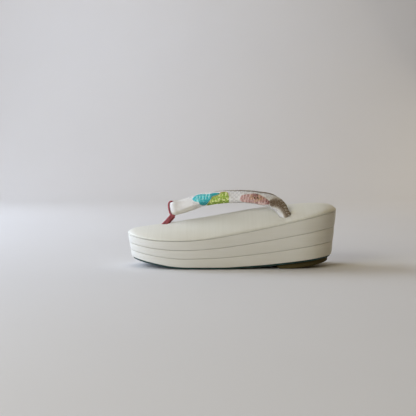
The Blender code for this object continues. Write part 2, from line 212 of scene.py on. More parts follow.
# The cloth turned under at the front: place along in mm, the turn where it begins, its depth in mm
UNDERFOLD_COLUMNS = ("along", "turn", "depth")
UNDERFOLD_ROWS = (
    (0.0, 98.0, 0.00),
    (3.0, 101.0, 0.60),
    (6.0, 104.0, 1.10),
    (10.0, 106.0, 1.45),
    (16.0, 109.0, 1.50),
    (22.0, 117.0, 1.30),
    (28.7, 134.0, 0.80),
    (36.0, 150.0, 0.00),
    (140.0, 150.0, 0.00),
)
UNDERFOLD_SPAN = 24.0
UNDERFOLD_END = 180.0

# Seams between the brocade and its backing: place along in mm and turn of the upper seam
UPPER_SEAM_COLUMNS = ("along", "turn")
UPPER_SEAM_ROWS = (
    (0.0, -24.0),
    (20.0, -16.0),
    (45.0, 12.0),
    (70.0, 24.0),
    (110.0, 26.0),
    (145.0, 20.0),
)
LOWER_SEAM = 204.0
SEAM_DEPTH = 0.00034
SEAM_SPAN = 5.0
SEAM_PUCKER = 0.00007
SEAM_PITCH = 0.0026
STUFFING_LONG = 0.00009
STUFFING_SHORT = 0.00006

# Front thong
THONG_FROM_TOE = 0.0446
THONG_DEPTH = 0.0080
STEM_TOP_WIDTH = 0.0058
STEM_FOOT_WIDTH = 0.0073
STEM_BREADTH = 0.0062
BAND_THICKNESS = 0.0017
BAND_FRONT_BREADTH = 0.0060
BAND_BACK_BREADTH = 0.0029
BAND_BACK_SLACK = 0.0009
BAND_TAPER = 1.6
RIB_DEPTH = 0.00026
STEM_RIBS = 5
STEM_RIB_DEPTH = 0.00048
STEM_UNEVEN = 0.00012
STEM_STEPS = 24
STEM_SIDES = 56
BAND_RIBS = 4
BAND_CREST = 0.7
BAND_FLANK = 0.5
BAND_STEPS = 72
BAND_SIDES = 28

# Camera: the photograph's frame is 416 pixels square, and these are its pixels
FRAME_PIXELS = 416
FOCAL_PIXELS = 755
HORIZON_PIXELS_UP = 56
SENSOR = 36.0
CAMERA_X = -0.0274
CAMERA_AWAY = 0.870
CAMERA_HEIGHT = 0.131

# Floor and backdrop
FLOOR_FRONT = 12.0
BACKDROP_DEPTH = 1.6
BACKDROP_HEIGHT = 2.2
BACKDROP_BEND = 0.5
BACKDROP_HALF = 3.0
BACKDROP_STEPS = 12

# Lights
SHOE = (0.0, 0.0, 0.03)
BACKDROP = (0.0, 1.6, 0.3)
LIGHT_COLUMNS = ("name", "place", "target", "width", "height", "power", "tint")
LIGHT_ROWS = (
    ("back_window", (-1.30, 0.45, 0.72), SHOE, 0.9, 0.9, 18.0, (0.72, 0.83, 1.00)),
    ("side_window", (-1.30, -0.50, 0.72), SHOE, 0.9, 0.9, 4.5, (0.50, 0.62, 1.00)),
    ("front_window", (-1.00, -1.10, 0.72), SHOE, 0.9, 0.9, 11.5, (1.00, 0.98, 0.84)),
    ("low_window", (-1.30, -0.15, 0.17), SHOE, 1.4, 0.3, 3.0, (0.45, 0.60, 1.00)),
    ("right_back", (1.00, 1.10, 0.70), SHOE, 0.9, 0.9, 2.5, (1.00, 0.90, 0.70)),
    ("backdrop_light", (-0.60, 0.70, 1.30), BACKDROP, 1.2, 0.8, 4.5, (1.00, 0.98, 1.00)),
)
ROOM_TINT = (0.139, 0.092, 0.020)

# The cloth's figure begins behind the fold. Painted shade darkens its upper side toward the rear,
# where it turns away from the windows, and its underside toward the front, where it is turned
# under. Places along are in metres, turns are shares of a full turn
FIGURE_START = 0.024
FIGURE_FADE = 0.008
SHADED_START = 0.106
SHADED_END = 0.126
UPPER_TURN = 0.33
UPPER_FADE = 0.08
UNDER_TURN = 0.30
UNDER_FADE = 0.05
UNDER_END = 0.044

# Embroidery: the threads
STRAP_RADIUS = STRAP_WIDTH / 2
THREAD = 0.00030
THREAD_PITCH = 0.00052
THREAD_LEAN = 0.00010
THREAD_TAPER = 0.45
THREAD_SIDES = 6
THREAD_POINTS = 7
STITCH_STAGGER = 0.3
EDGE_POINTS = 60

# Light strokes across the teal leaf, in mm and degrees: places along, half a stroke's width, the
# lean for each degree from the middle turn, and the turns where strokes begin and end
LEAF_STROKES = (27.6, 30.6, 34.0, 37.8, 41.4)
STROKE_HALF = 0.55
STROKE_LEAN = 0.02
STROKE_MIDDLE = 85.0
STROKE_START = 66.0
STROKE_END = 112.0
LOBE_START = 108.0
LOBE_FADE = 34.0

# Groups of light and dark stitches in the lime block: how many, and their size in mm and degrees
GROUP_COUNTS = (40, 12)
GROUP_LONG = 1.3
GROUP_ROUND = 17.0

# The mauve petal: its centre in mm and degrees, its rings' pitch and where it turns brown, in mm
PETAL_CENTRE = (93.0, 126.0)
PETAL_RING = 2.9
BROWN_START = 86.0
BROWN_FADE = 6.0

# The olive leaf fades into the white over these degrees, above only before this place in mm
OLIVE_FADE = 34.0
OLIVE_FADE_END = 119.0

# Patches of the outer face: place along the branch in mm, and where the patch begins and
# ends round the section in degrees
PATCH_COLUMNS = ("along", "start", "end")
TEAL_ROWS = (
    (22.0, 66.0, 74.0),
    (23.5, 58.0, 94.0),
    (26.0, 46.0, 108.0),
    (28.6, 40.0, 118.0),
    (29.4, 40.0, 150.0),
    (31.5, 46.0, 172.0),
    (34.5, 54.0, 178.0),
    (37.5, 60.0, 168.0),
    (40.5, 64.0, 140.0),
    (43.5, 64.0, 112.0),
    (45.0, 60.0, 96.0),
    (48.5, 62.0, 92.0),
    (53.0, 70.0, 84.0),
)
LIME_ROWS = (
    (37.6, 170.0, 184.0),
    (40.5, 146.0, 190.0),
    (43.5, 118.0, 191.0),
    (45.2, 100.0, 191.0),
    (49.0, 95.0, 191.0),
    (53.3, 86.0, 190.0),
    (54.4, 66.0, 190.0),
    (59.5, 62.0, 190.0),
    (62.4, 78.0, 188.0),
    (64.6, 120.0, 184.0),
)
MAUVE_ROWS = (
    (77.4, 122.0, 164.0),
    (78.6, 104.0, 178.0),
    (81.0, 94.0, 186.0),
    (84.5, 90.0, 189.0),
    (88.0, 82.0, 190.0),
    (92.0, 74.0, 190.0),
    (97.0, 76.0, 190.0),
    (101.0, 86.0, 190.0),
    (104.5, 96.0, 184.0),
    (108.0, 104.0, 164.0),
    (111.0, 112.0, 146.0),
)
# The olive leaf is olive-brown embroidery, made darker to paint in part the shade where the strap bends
# down to its rear hole, facing away from the windows
OLIVE_ROWS = (
    (110.6, 92.0, 130.0),
    (112.6, 76.0, 158.0),
    (115.0, 58.0, 158.0),
    (117.5, 38.0, 146.0),
    (121.0, 29.0, 128.0),
    (126.0, 27.0, 112.0),
    (131.0, 27.0, 108.0),
    (137.0, 27.0, 112.0),
)

# Seeds and gold loops in the mauve patch: place along in mm and turn in degrees, the loops' radius
# in mm and the angle they leave open, and a seed's half length in mm and half turn in degrees
SEEDS = ((93.2, 118.0), (93.6, 126.0), (96.8, 112.0), (97.1, 120.0), (95.2, 86.0))
LOOPS = ((98.6, 96.0), (100.2, 118.0), (102.4, 108.0), (98.6, 138.0), (95.2, 152.0), (90.2, 134.0),
         (93.4, 122.0), (97.0, 116.0), (90.0, 108.0))
LOOP_RADIUS = 1.25
LOOP_OPENING = 0.4
SEED_HALF = 0.5
SEED_TURN = 5.0

# Satin patches: the silk, the length of a stitch, the middle shade and its scatter
SATIN_COLUMNS = ("piece", "silk", "stitch", "shade", "scatter")
SATIN_ROWS = (
    ("teal_leaf", "teal_silk", 0.0036, 0.40, 0.16),
    ("lime_block", "lime_silk", 0.0026, 0.25, 0.10),
    ("mauve_petal", "mauve_silk", 0.0050, 0.52, 0.10),
    ("olive_leaf", "olive_silk", 0.0018, 0.34, 0.10),
)
SATIN_RISE = 0.00008

# Parts of a patch that are lighter or darker: between two places in mm, below a turn in degrees
ZONE_COLUMNS = ("piece", "start", "end", "turn", "change")
ZONE_ROWS = (
    ("teal_leaf", 22.0, 29.0, 90.0, 0.36),
    ("teal_leaf", 43.0, 53.0, 0.0, -0.22),
    ("lime_block", 37.0, 65.0, 160.0, -0.35),
    ("mauve_petal", 98.0, 107.0, 150.0, 0.60),
    ("mauve_petal", 106.5, 111.0, 0.0, -0.25),
    # Painted shade: the olive leaf's darkest threads, where the rear bend faces away from the light
    ("olive_leaf", 110.0, 116.0, 100.0, -0.20),
)

# Figures in single threads: the silk, the thread's radius, its rise above the cloth and its shade
SINGLE_COLUMNS = ("piece", "silk", "radius", "rise", "shade")
SINGLE_ROWS = (
    ("gold_loops", "gold_thread", 0.00026, 0.00040, 0.8),
    ("seed_stitches", "brown_silk", 0.00062, 0.00045, 0.4),
    ("gold_edge", "gold_thread", 0.00030, 0.00035, 0.5),
    ("silver_flowers", "silver_thread", 0.00019, 0.00003, 0.6),
)

# Silks: three shades in linear colour, and the roughness
SILK_COLUMNS = ("name", "dark", "middle", "light", "roughness")
SILK_ROWS = (
    ("teal_silk", (0.000, 0.32, 0.36), (0.01, 0.63, 0.68), (0.46, 0.96, 0.95), 0.38),
    ("lime_silk", (0.18, 0.29, 0.004), (0.43, 0.62, 0.025), (0.92, 0.97, 0.52), 0.38),
    ("mauve_silk", (0.24, 0.10, 0.09), (0.60, 0.34, 0.31), (0.90, 0.70, 0.68), 0.38),
    ("brown_silk", (0.06, 0.02, 0.01), (0.09, 0.03, 0.02), (0.15, 0.06, 0.03), 0.38),
    ("olive_silk", (0.15, 0.095, 0.055), (0.29, 0.215, 0.150), (0.74, 0.70, 0.64), 0.38),
    ("gold_thread", (0.40, 0.24, 0.07), (0.55, 0.36, 0.12), (0.80, 0.60, 0.30), 0.30),
    ("silver_thread", (0.44, 0.42, 0.43), (0.54, 0.52, 0.53), (0.70, 0.68, 0.69), 0.30),
)

# Silver flowers in rows along the strap: places and sizes in mm, turns in degrees
FLOWER_TURNS = np.arange(38.0, 190.0, 21.0)
FLOWER_START = 20.0
FLOWER_END = 128.0
FLOWER_PITCH = 4.8
FLOWER_PETALS = 4
FLOWER_REACH = (0.35, 1.7)
FLOWER_BEND = 0.32
FLOWER_CLEAR_LONG = 2.4
FLOWER_CLEAR_TURN = 12.0

# Leatherettes in linear colour, with the scale of their streaks along each axis
COVER_COLUMNS = ("name", "light", "dark", "streak")
COVER_ROWS = (
    ("wrapped_cover_skin", (0.735, 0.728, 0.680), (0.690, 0.683, 0.630), (14.0, 14.0, 420.0)),
    ("cushion_skin", (0.755, 0.750, 0.685), (0.715, 0.710, 0.640), (420.0, 10.0, 14.0)),
)

# Rubbers in linear colour, with the scale of their grain
RUBBER_COLUMNS = ("name", "light", "dark", "grain_scale", "roughness")
RUBBER_ROWS = (
    ("dark_rubber_sheet", (0.030, 0.085, 0.080), (0.006, 0.024, 0.022), 900.0, 0.55),
    ("olive_rubber_block", (0.085, 0.068, 0.022), (0.055, 0.042, 0.012), 700.0, 0.80),
)

# Cloths and paper in linear colour
CLOTH_LIGHT = (0.81, 0.80, 0.79)
CLOTH_DARK = (0.72, 0.71, 0.69)
# Painted shade: the colours the strap's cloth is darkened toward, under its front and on its upper side
# toward the rear
PAINTED_UNDER_SHADE = (0.56, 0.52, 0.42)
PAINTED_REAR_SHADE = (0.47, 0.43, 0.38)
CLOTH_SILVER = (0.86, 0.86, 0.87)
BACKING_LIGHT = (0.34, 0.30, 0.26)
BACKING_DARK = (0.25, 0.215, 0.18)
# The velvet's light colour is its paler pile, and also a painted highlight on its ribs and edges
VELVET_LIGHT = (0.50, 0.105, 0.125)
VELVET_DARK = (0.045, 0.003, 0.006)
VELVET_SHEEN = (0.90, 0.45, 0.48)
PAPER_LIGHT = (0.74, 0.735, 0.74)
PAPER_DARK = (0.70, 0.695, 0.70)

# Depths of the fine surfaces
PORE_DEPTH = 0.00006
STREAK_DEPTH = 0.00012
PEBBLE_DEPTH = 0.00012
WEAVE_DEPTH = 0.00005
FIGURE_DEPTH = 0.00010
PILE_DEPTH = 0.00015
SILK_DEPTH = 0.00005
FIBRE_DEPTH = 0.00005

RANDOM = np.random.default_rng(7)
LIME_GROUPS = RANDOM.uniform(0.0, 1.0, GROUP_COUNTS)


# Tables and curves of the sole

def row_slopes(xs, ys):
    """Slopes at the rows that keep the curve between them from overshooting."""
    steps = np.diff(ys) / np.diff(xs)
    slopes = [steps[0]]
    for before, after in zip(steps, steps[1:]):
        slopes.append(0.0 if before * after <= 0.0 else 2.0 * before * after / (before + after))
    slopes.append(steps[-1])
    return np.array(slopes)


def read_table(columns, rows, name, at):
    """Values of a named column at stations, on a smooth curve through the rows."""
    xs = np.array([row[0] for row in rows])
    ys = np.array([row[columns.index(name)] for row in rows])
    slopes = row_slopes(xs, ys)
    at = np.asarray(at, float)
    i = np.clip(np.searchsorted(xs, at, side="right") - 1, 0, len(xs) - 2)
    span = xs[i + 1] - xs[i]
    t = (at - xs[i]) / span
    start = (1 + 2 * t) * (1 - t) ** 2 * ys[i] + t * (1 - t) ** 2 * span * slopes[i]
    end = t * t * (3 - 2 * t) * ys[i + 1] + t * t * (t - 1) * span * slopes[i + 1]
    return start + end


def named(columns, rows):
    """The rows of a table, each with its values by column."""
    return [dict(zip(columns, row)) for row in rows]


def sole_value(name, along):
    """A column of the sole's table."""
    return read_table(SOLE_COLUMNS, SOLE_ROWS, name, along)


def round_end(distance, reach, fullness):
    """Share of the half width at a distance from a round end."""
    inner = np.clip(1.0 - distance / reach, 0.0, 1.0)
    return (1.0 - inner ** fullness) ** (1.0 / fullness)


def half_width(along):
    """Half the plan width at the rim."""
    from_toe = np.clip(along, 0.0, 1.0) * LENGTH
    from_heel = LENGTH - from_toe
    t = np.clip((from_toe - TOE_ROUND) / (LENGTH - HEEL_ROUND - TOE_ROUND), 0.0, 1.0)
    blend = t * t * (3.0 - 2.0 * t)
    middle = (BALL_WIDTH + (HEEL_WIDTH - BALL_WIDTH) * blend) / 2
    toe = round_end(from_toe, TOE_ROUND, TOE_FULLNESS)
    heel = round_end(from_heel, HEEL_ROUND, HEEL_FULLNESS)
    return middle * toe * heel


def floor_side(along):
    """Height of the outsole's underside."""
    return HEEL_RISE * sole_value("spring", along)


def outsole_top(along):
    """Height of the outsole's upper face."""
    return floor_side(along) + OUTSOLE_THICKNESS


def body_bottom(along):
    """Height of the underside of the layers."""
    return outsole_top(along) + GAP


def seam(along):
    """Height of the seam between the layers and the cushion."""
    return SEAM_HEIGHT * sole_value("seam", along)


def layer_joint(share, along):
    """Height of a joint between two layers."""
    low = body_bottom(along)
    return low + share * (seam(along) - low)


def rim(along):
    """Height at which the cushion's side turns into its dome."""
    return seam(along) + RIM_HEIGHT


def cushion_top(along, y):
    """Height of the cushion's surface."""
    half = np.maximum(half_width(along), 1e-6)
    out = np.clip(np.abs(y) / half, 0.0, 1.0)
    return rim(along) + DOME_RISE * sole_value("dome", along) * (1.0 - out * out)


def wall_points(along, side, height, inset):
    """Points of the leaning side wall at a height curve, moved in by an inset."""
    x = (along - 0.5) * LENGTH
    for _ in range(2):
        here = x / LENGTH + 0.5
        sink = (rim(here) - height(here)) / (rim(here) - body_bottom(here))
        toe = TOE_LEAN * sink + inset
        heel = HEEL_LEAN * sink + inset
        x = toe + along * (LENGTH - toe - heel) - LENGTH / 2
    flank = SIDE_LEAN * sink + inset
    y = side * half_width(along) * (1.0 - flank / (BALL_WIDTH / 2))
    return np.stack((x, y, height(x / LENGTH + 0.5)), axis=-1)


def outline(count):
    """Stations and sides round the whole outline, from the toe along +Y to the heel and back."""
    shares = (1.0 - np.cos(np.pi * np.arange(count + 1) / count)) / 2
    along = np.concatenate((shares, shares[-2:0:-1]))
    side = np.concatenate((np.ones(count + 1), -np.ones(count - 1)))
    return along, side


def ripple(along, side, seed):
    """A soft hand-made unevenness along the wall, between about -1 and 1."""
    total = np.zeros_like(along)
    for k, turns in enumerate(WRAP_WAVES):
        total += np.sin(2 * np.pi * turns * along + seed * 1.7 + k * 2.1 + side * 0.9) / (k + 1.5)
    return total


# Meshes

def full_turn(count):
    """Evenly spaced angles round a circle."""
    return 2 * np.pi * np.arange(count) / count


def signed_power(values, power):
    """Values raised to a power, with their signs kept."""
    return np.sign(values) * np.abs(values) ** power


def grid_faces(rows, columns, start=0):
    """Quads between the rows of a grid whose columns close on themselves."""
    r, c = np.meshgrid(np.arange(rows - 1), np.arange(columns), indexing="ij")
    n = (c + 1) % columns
    quads = np.stack((r * columns + c, r * columns + n, (r + 1) * columns + n, (r + 1) * columns + c), -1)
    return (quads.reshape(-1, 4) + start).tolist()


def across_faces(first, count, flip):
    """Faces straight across a ring of the sole, from one side to the other."""
    faces = []
    for k in range(count // 2):
        corners = [first + k, first + k + 1, first + (-k - 1) % count, first + -k % count]
        corners = list(dict.fromkeys(corners))
        faces.append(corners[::-1] if flip else corners)
    return faces


def new_piece(name, vertices, faces, material):
    """An object made of vertices and faces."""
    mesh = bpy.data.meshes.new(name)
    mesh.from_pydata([tuple(v) for v in np.asarray(vertices, float)], [], faces)
    mesh.validate()
    mesh.shade_smooth()
    mesh.materials.append(material)
    piece = bpy.data.objects.new(name, mesh)
    bpy.context.scene.collection.objects.link(piece)
    return piece


def outward(piece, joined=True):
    """Turn all faces of a piece outward, with vertices that lie on each other joined first."""
    bm = bmesh.new()
    bm.from_mesh(piece.data)
    if joined:
        bmesh.ops.remove_doubles(bm, verts=bm.verts, dist=WELD)
    bmesh.ops.recalc_face_normals(bm, faces=bm.faces)
    bm.to_mesh(piece.data)
    bm.free()
    return piece


def add_values(mesh, name, values):
    """A number at each vertex, for the materials to read."""
    attribute = mesh.attributes.new(name, "FLOAT", "POINT")
    attribute.data.foreach_set("value", np.asarray(values, np.float32))


def bevelled(piece, width, degrees):
    """Round the sharp edges of a piece."""
    bevel = piece.modifiers.new("edges", "BEVEL")
    bevel.width = width
    bevel.segments = 3
    bevel.limit_method = "ANGLE"
    bevel.angle_limit = math.radians(degrees)
    return piece


def finished(piece, slot, *nodes):
    """A piece that stands for solids of the model and rides with the shoe."""
    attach(piece, "root")
    if nodes:
        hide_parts(*nodes)


# Sole

def round_levels(edge, rise, reach, upward):
    """Height curves and insets round one edge of a layer, from its face to its side."""
    levels = []
    for k in range(ROUND_STEPS + 1):
        turn = math.pi / 2 * k / ROUND_STEPS
        drop = upward * rise * (1.0 - math.cos(turn))
        levels.append((lambda a, d=drop: edge(a) + d, reach * (1.0 - math.sin(turn))))
    return levels


def slab_levels(low, high, below, above, puff):
    """Height curves and insets from the bottom edge of a layer to its top edge."""
    levels = round_levels(low, *below, 1.0)
    for k in range(1, WRAP_ROWS):
        share = k / WRAP_ROWS
        start, end = (lambda a: low(a) + below[0]), (lambda a: high(a) - above[0])
        levels.append((lambda a, s=share: start(a) + s * (end(a) - start(a)),
                       -puff * math.sin(math.pi * share)))
    return levels + round_levels(high, *above, -1.0)[::-1]


def build_slab(name, levels, inset, seed, material):
    """A layer made of rings at height curves, each with its own inset."""
    along, side = outline(WRAP_STATIONS)
    uneven = WRAP_RIPPLE * ripple(along, side, seed)
    rings = [wall_points(along, side, height, inset + extra + uneven) for height, extra in levels]
    count = len(along)
    faces = grid_faces(len(rings), count)
    faces += across_faces(0, count, True)
    faces += across_faces(count * (len(rings) - 1), count, False)
    return outward(new_piece(name, np.concatenate(rings), faces, material))


def build_layers(cover):
    """The three wrapped layers."""
    first = LOWER_SHARE
    second = LOWER_SHARE + MIDDLE_SHARE
    layers = (
        ("lower_wrap", body_bottom, lambda a: layer_joint(first, a) - GAP / 2, "lower_layer"),
        ("middle_wrap", lambda a: layer_joint(first, a) + GAP / 2,
         lambda a: layer_joint(second, a) - GAP / 2, "middle_layer"),
        ("upper_wrap", lambda a: layer_joint(second, a) + GAP / 2,
         lambda a: seam(a) - GAP / 2, "upper_layer"),
    )
    for seed, (name, low, high, node) in enumerate(layers):
        levels = slab_levels(low, high, WRAP_EDGE, WRAP_EDGE, WRAP_PUFF)
        piece = build_slab(name, levels, 0.0, seed, cover)
        finished(piece, "wrapped_cover", node)


def build_outsole(material):
    """The thin dark sheet underneath."""
    levels = slab_levels(floor_side, outsole_top, OUTSOLE_BELLY, OUTSOLE_BROW, 0.0)
    piece = build_slab("outsole_sheet", levels, OUTSOLE_INSET, 5, material)
    finished(piece, "dark_rubber", "outsole")


def lift_section(x, half, low, high, slant):
    """Points of the lift across the shoe at one station, with its lower edges rounded."""
    rise = min(LIFT_BELLY[0], 0.4 * (high - low))
    reach = min(LIFT_BELLY[1], 0.8 * half)
    right = [(x, half, high)]
    for k in range(ROUND_STEPS + 1):
        turn = math.pi / 2 * k / ROUND_STEPS
        height = rise * (1.0 - math.sin(turn))
        right.append((x + slant, half - reach * (1.0 - math.cos(turn)), low + height))
    return right + [(px, -y, z) for px, y, z in right[::-1]]


def build_lift(material):
    """The wedge under the heel."""
    inset = OUTSOLE_INSET + LIFT_INSET
    ends = wall_points(np.array([0.0, 1.0]), 1.0, floor_side, inset)
    front = ends[1][0] - LIFT_LENGTH
    back_rise = ends[1][2] - GAP - LIFT_BACK_THICKNESS
    start = (front - ends[0][0]) / (ends[1][0] - ends[0][0])
    along = start + (1.0 - start) * np.sin(math.pi / 2 * np.arange(LIFT_STEPS + 1) / LIFT_STEPS)
    sections = []
    for x, y, z in wall_points(along, 1.0, floor_side, inset):
        slant = max(0.0, LIFT_FRONT_SLANT - (x - front))
        past = max(x - front - LIFT_FLAT_LENGTH, 0.0) / (LIFT_LENGTH - LIFT_FLAT_LENGTH)
        sections.append(lift_section(x, y, back_rise * past ** LIFT_CURVE, z - GAP, slant))
    count = len(sections[0])
    faces = grid_faces(len(sections), count) + [list(range(count))]
    piece = outward(new_piece("heel_lift_block", np.concatenate(sections), faces, material))
    bevelled(piece, LIFT_ROUND, 40.0)
    finished(piece, "olive_rubber", "heel_lift")


def shoulder(name, along):
    """A column of the cushion's shoulder table."""
    return read_table(SHOULDER_COLUMNS, SHOULDER_ROWS, name, np.clip(along, 0.0, 1.0))


def hole_places():
    """Centre of each hole in the cushion, on its surface, and the scale of its dimple."""
    front_x = THONG_FROM_TOE - LENGTH / 2
    last = branch_rows()[-2]
    return ((front_x, 0.0, 1.0), (last[0], last[1], REAR_HOLE_SCALE), (last[0], -last[1], REAR_HOLE_SCALE))


def cushion_relief(x, y):
    """How far the cushion is pulled in round its holes, with radial puckers."""
    sink = np.zeros_like(x)
    for hole_x, hole_y, size in hole_places():
        away = np.hypot(x - hole_x, y - hole_y)
        turn = np.arctan2(y - hole_y, x - hole_x)
        reach = HOLE_REACH * size
        sink += HOLE_SINK * size * np.exp(-(away / reach) ** 2)
        rays = np.cos(PUCKERS * turn + np.sin(3 * turn)) * np.exp(-((away - reach) / reach) ** 2 * 2.0)
        sink += PUCKER_DEPTH * size * rays
    return sink


def build_cushion(material):
    """The padded top with its holes."""
    along, side = outline(WRAP_STATIONS)
    uneven = WRAP_RIPPLE * ripple(along, side, 9)
    low = lambda a: seam(a) + GAP / 2
    brow = lambda a: rim(a) - MM * shoulder("drop", a)
    levels = round_levels(low, *WRAP_EDGE, 1.0)
    levels += [(lambda a, s=share: low(a) + s * (brow(a) - low(a)), 0.0) for share in BROW_SHARES]
    rings = [wall_points(along, side, height, inset + uneven) for height, inset in levels]
    edge = wall_points(along, side, rim, uneven)
    spine_x = np.clip(edge[:, 0], (SPINE_START - 0.5) * LENGTH, (SPINE_END - 0.5) * LENGTH)
    spine = np.stack((spine_x, np.zeros_like(spine_x)), -1)
    for k in range(DOME_RINGS + 1):
        share = math.sin(math.pi / 2 * (1.0 - k / DOME_RINGS))
        place = spine + (edge[:, :2] - spine) * share
        inside = np.linalg.norm(edge[:, :2] - place, axis=1)
        here = place[:, 0] / LENGTH + 0.5
        near = np.clip(1.0 - inside / (MM * shoulder("reach", here)), 0.0, 1.0)
        rounded = MM * shoulder("drop", here) * (1.0 - np.sqrt(1.0 - near * near))
        z = cushion_top(here, place[:, 1]) - rounded - cushion_relief(place[:, 0], place[:, 1])
        rings.append(np.column_stack((place, z)))
    count = len(along)
    faces = grid_faces(len(rings), count) + across_faces(0, count, True)
    piece = outward(new_piece("cushion_cover", np.concatenate(rings), faces, material))
    for name, sections in hole_cutters().items():
        cut_with(piece, tube_piece(name, sections, material))
    finished(piece, "cushion_cover", "top_cushion")


# Strap

def oval_points(centre, major, minor, half_wide, half_thick, turns, lift):
    """Points of a full oval round a centre, moved out by a distance along its normal."""
    power = 2.0 / STRAP_FULLNESS
    c, s = np.cos(turns), np.sin(turns)
    a = half_wide * signed_power(c, power)
    b = half_thick * signed_power(s, power)
    na = signed_power(c, 2.0 - power) / half_wide
    nb = signed_power(s, 2.0 - power) / half_thick
    size = np.hypot(na, nb)
    a = a + lift * na / size
    b = b + lift * nb / size
    return centre + major * a[..., None] + minor * b[..., None]


def unit(v):
    """Vectors of length one."""
    return v / np.linalg.norm(v, axis=-1, keepdims=True)


def fold_frame():
    """The fold's centre and the directions along and across its plane."""
    z = float(cushion_top(FOLD_FROM_TOE / LENGTH, 0.0)) + FOLD_LIFT
    centre = np.array((FOLD_FROM_TOE - LENGTH / 2, 0.0, z))
    along = np.array((math.cos(FOLD_PITCH), 0.0, math.sin(FOLD_PITCH)))
    across = np.array((-math.sin(FOLD_PITCH), 0.0, math.cos(FOLD_PITCH)))
    return centre, along, across


def branch_rows():
    """Centre, half width, half thickness and tilt of one branch, as rows of six numbers."""
    centre, along, _ = fold_frame()
    first = centre + np.array((0.0, FOLD_RADIUS, 0.0))
    lead = first + along * FOLD_LEAD
    rows = [np.array((*first, FOLD_HALF_WIDE, FOLD_HALF_THICK, 0.0)),
            np.array((*lead, FOLD_HALF_WIDE, FOLD_HALF_THICK + FOLD_SWELL, 0.0))]
    for share in named(STRAP_COLUMNS, STRAP_ROWS):
        x = first[0] + share["along"] * STRAP_RUN
        y = share["out"] * STRAP_SPREAD
        z = float(cushion_top(0.5 + x / LENGTH, y)) + share["lift"] * STRAP_LIFT
        half_wide = share["wide"] * STRAP_WIDTH / 2
        half_thick = share["thick"] * STRAP_THICKNESS / 2
        rows.append(np.array((x, y, z, half_wide, half_thick, share["tilt"])))
    heading = unit((rows[-1] - rows[-2])[:3])
    end = rows[-1].copy()
    end[:3] += heading * STRAP_DEPTH
    rows.append(end)
    return rows


def smooth_rows(rows, steps):
    """Rows on a smooth curve through the given ones."""
    ends = [rows[0] * 2 - rows[1]] + list(rows) + [rows[-1] * 2 - rows[-2]]
    curve = []
    for a, b, c, d in zip(ends, ends[1:], ends[2:], ends[3:]):
        for k in range(steps):
            t = k / steps
            curve.append(0.5 * (2 * b + (c - a) * t + (2 * a - 5 * b + 4 * c - d) * t * t
                                + (3 * b - a - 3 * c + d) * t ** 3))
    curve.append(rows[-1])
    return np.array(curve)


def branch_frames(rows, steps):
    """Centres, section axes and half sizes along one branch, on the +Y side."""
    curve = smooth_rows(rows, steps)
    centres = curve[:, :3]
    heading = unit(np.gradient(centres, axis=0))
    upright = unit(np.array((0.0, 0.0, 1.0)) - heading * heading[:, 2:3])
    outwards = np.cross(heading, upright)
    outwards *= np.where(outwards[:, 1:2] < 0.0, -1.0, 1.0)
    tilt = np.radians(curve[:, 5:6])
    major = upright * np.cos(tilt) - outwards * np.sin(tilt)
    minor = outwards * np.cos(tilt) + upright * np.sin(tilt)
    steps_long = np.linalg.norm(np.diff(centres, axis=0), axis=1)
    distance = np.concatenate(([0.0], np.cumsum(steps_long)))
    return {"distance": distance, "centre": centres, "major": major, "minor": minor,
            "half_wide": curve[:, 3], "half_thick": curve[:, 4]}


BRANCH = branch_frames(branch_rows(), STRAP_STEPS)


def degrees_between(turns, degrees):
    """Signed difference of angles round the section, in degrees."""
    return (np.degrees(turns) - degrees + 180.0) % 360.0 - 180.0


def upper_seam(distance):
    """Turn of the upper seam, in degrees."""
    return read_table(UPPER_SEAM_COLUMNS, UPPER_SEAM_ROWS, "turn", np.asarray(distance) / MM)


def eased(value):
    """A soft step from 0 to 1."""
    t = np.clip(value, 0.0, 1.0)
    return t * t * (3.0 - 2.0 * t)


def underfold(distance, turns):
    """How far the cloth is turned under at the front, in metres."""
    along = distance / MM
    begin = read_table(UNDERFOLD_COLUMNS, UNDERFOLD_ROWS, "turn", along)
    depth = read_table(UNDERFOLD_COLUMNS, UNDERFOLD_ROWS, "depth", along)
    turn = degrees_between(turns, 0.0) % 360.0
    step = eased((turn - begin) / UNDERFOLD_SPAN) * (1.0 - eased((turn - UNDERFOLD_END) / UNDERFOLD_SPAN))
    return depth * MM * step


def strap_relief(distance, turns):
    """Creases, seams and unevenness of the strap's surface, as a distance outward."""
    along = distance / MM
    relief = -underfold(distance, turns)
    for crease in named(CREASE_COLUMNS, CREASE_ROWS):
        a = (along - crease["along"]) / crease["long"]
        b = degrees_between(turns, crease["turn"]) / crease["round"]
        trough = np.exp(-(a * a + b * b))
        narrow = a if crease["long"] * 4.0 < crease["round"] else b
        ridge = np.exp(-(a * a + b * b) / 5.0) * np.exp(-(np.abs(narrow) - 2.0) ** 2)
        relief += crease["depth"] * MM * (CREASE_LIP * ridge - trough)
    for seam_turn in (upper_seam(distance), LOWER_SEAM):
        b = degrees_between(turns, seam_turn) / SEAM_SPAN
        relief -= SEAM_DEPTH * np.exp(-b * b)
        beside = np.exp(-((np.abs(b) - 2.2) / 1.4) ** 2)
        relief += SEAM_PUCKER * beside * np.sin(2 * np.pi * distance / SEAM_PITCH + seam_turn)
    relief += STUFFING_LONG * np.sin(along * 0.41 + 2.0 * np.sin(turns + 0.6))
    relief += STUFFING_SHORT * np.sin(along * 0.93 + 3.1 * np.cos(turns)) * np.sin(2.0 * turns)
    return relief


def branch_points(distance, turns, lift, side):
    """Points on the strap's outer surface on one branch, from places along and round it."""
    distance, turns = np.broadcast_arrays(np.asarray(distance, float), np.asarray(turns, float))
    read = lambda values: np.interp(distance, BRANCH["distance"], values)
    vector = lambda name: np.stack([read(BRANCH[name][:, i]) for i in range(3)], -1)
    relief = strap_relief(distance, turns)
    points = oval_points(vector("centre"), unit(vector("major")), unit(vector("minor")),
                         read(BRANCH["half_wide"]), read(BRANCH["half_thick"]), turns, relief + lift)
    return points * np.array((1.0, side, 1.0))


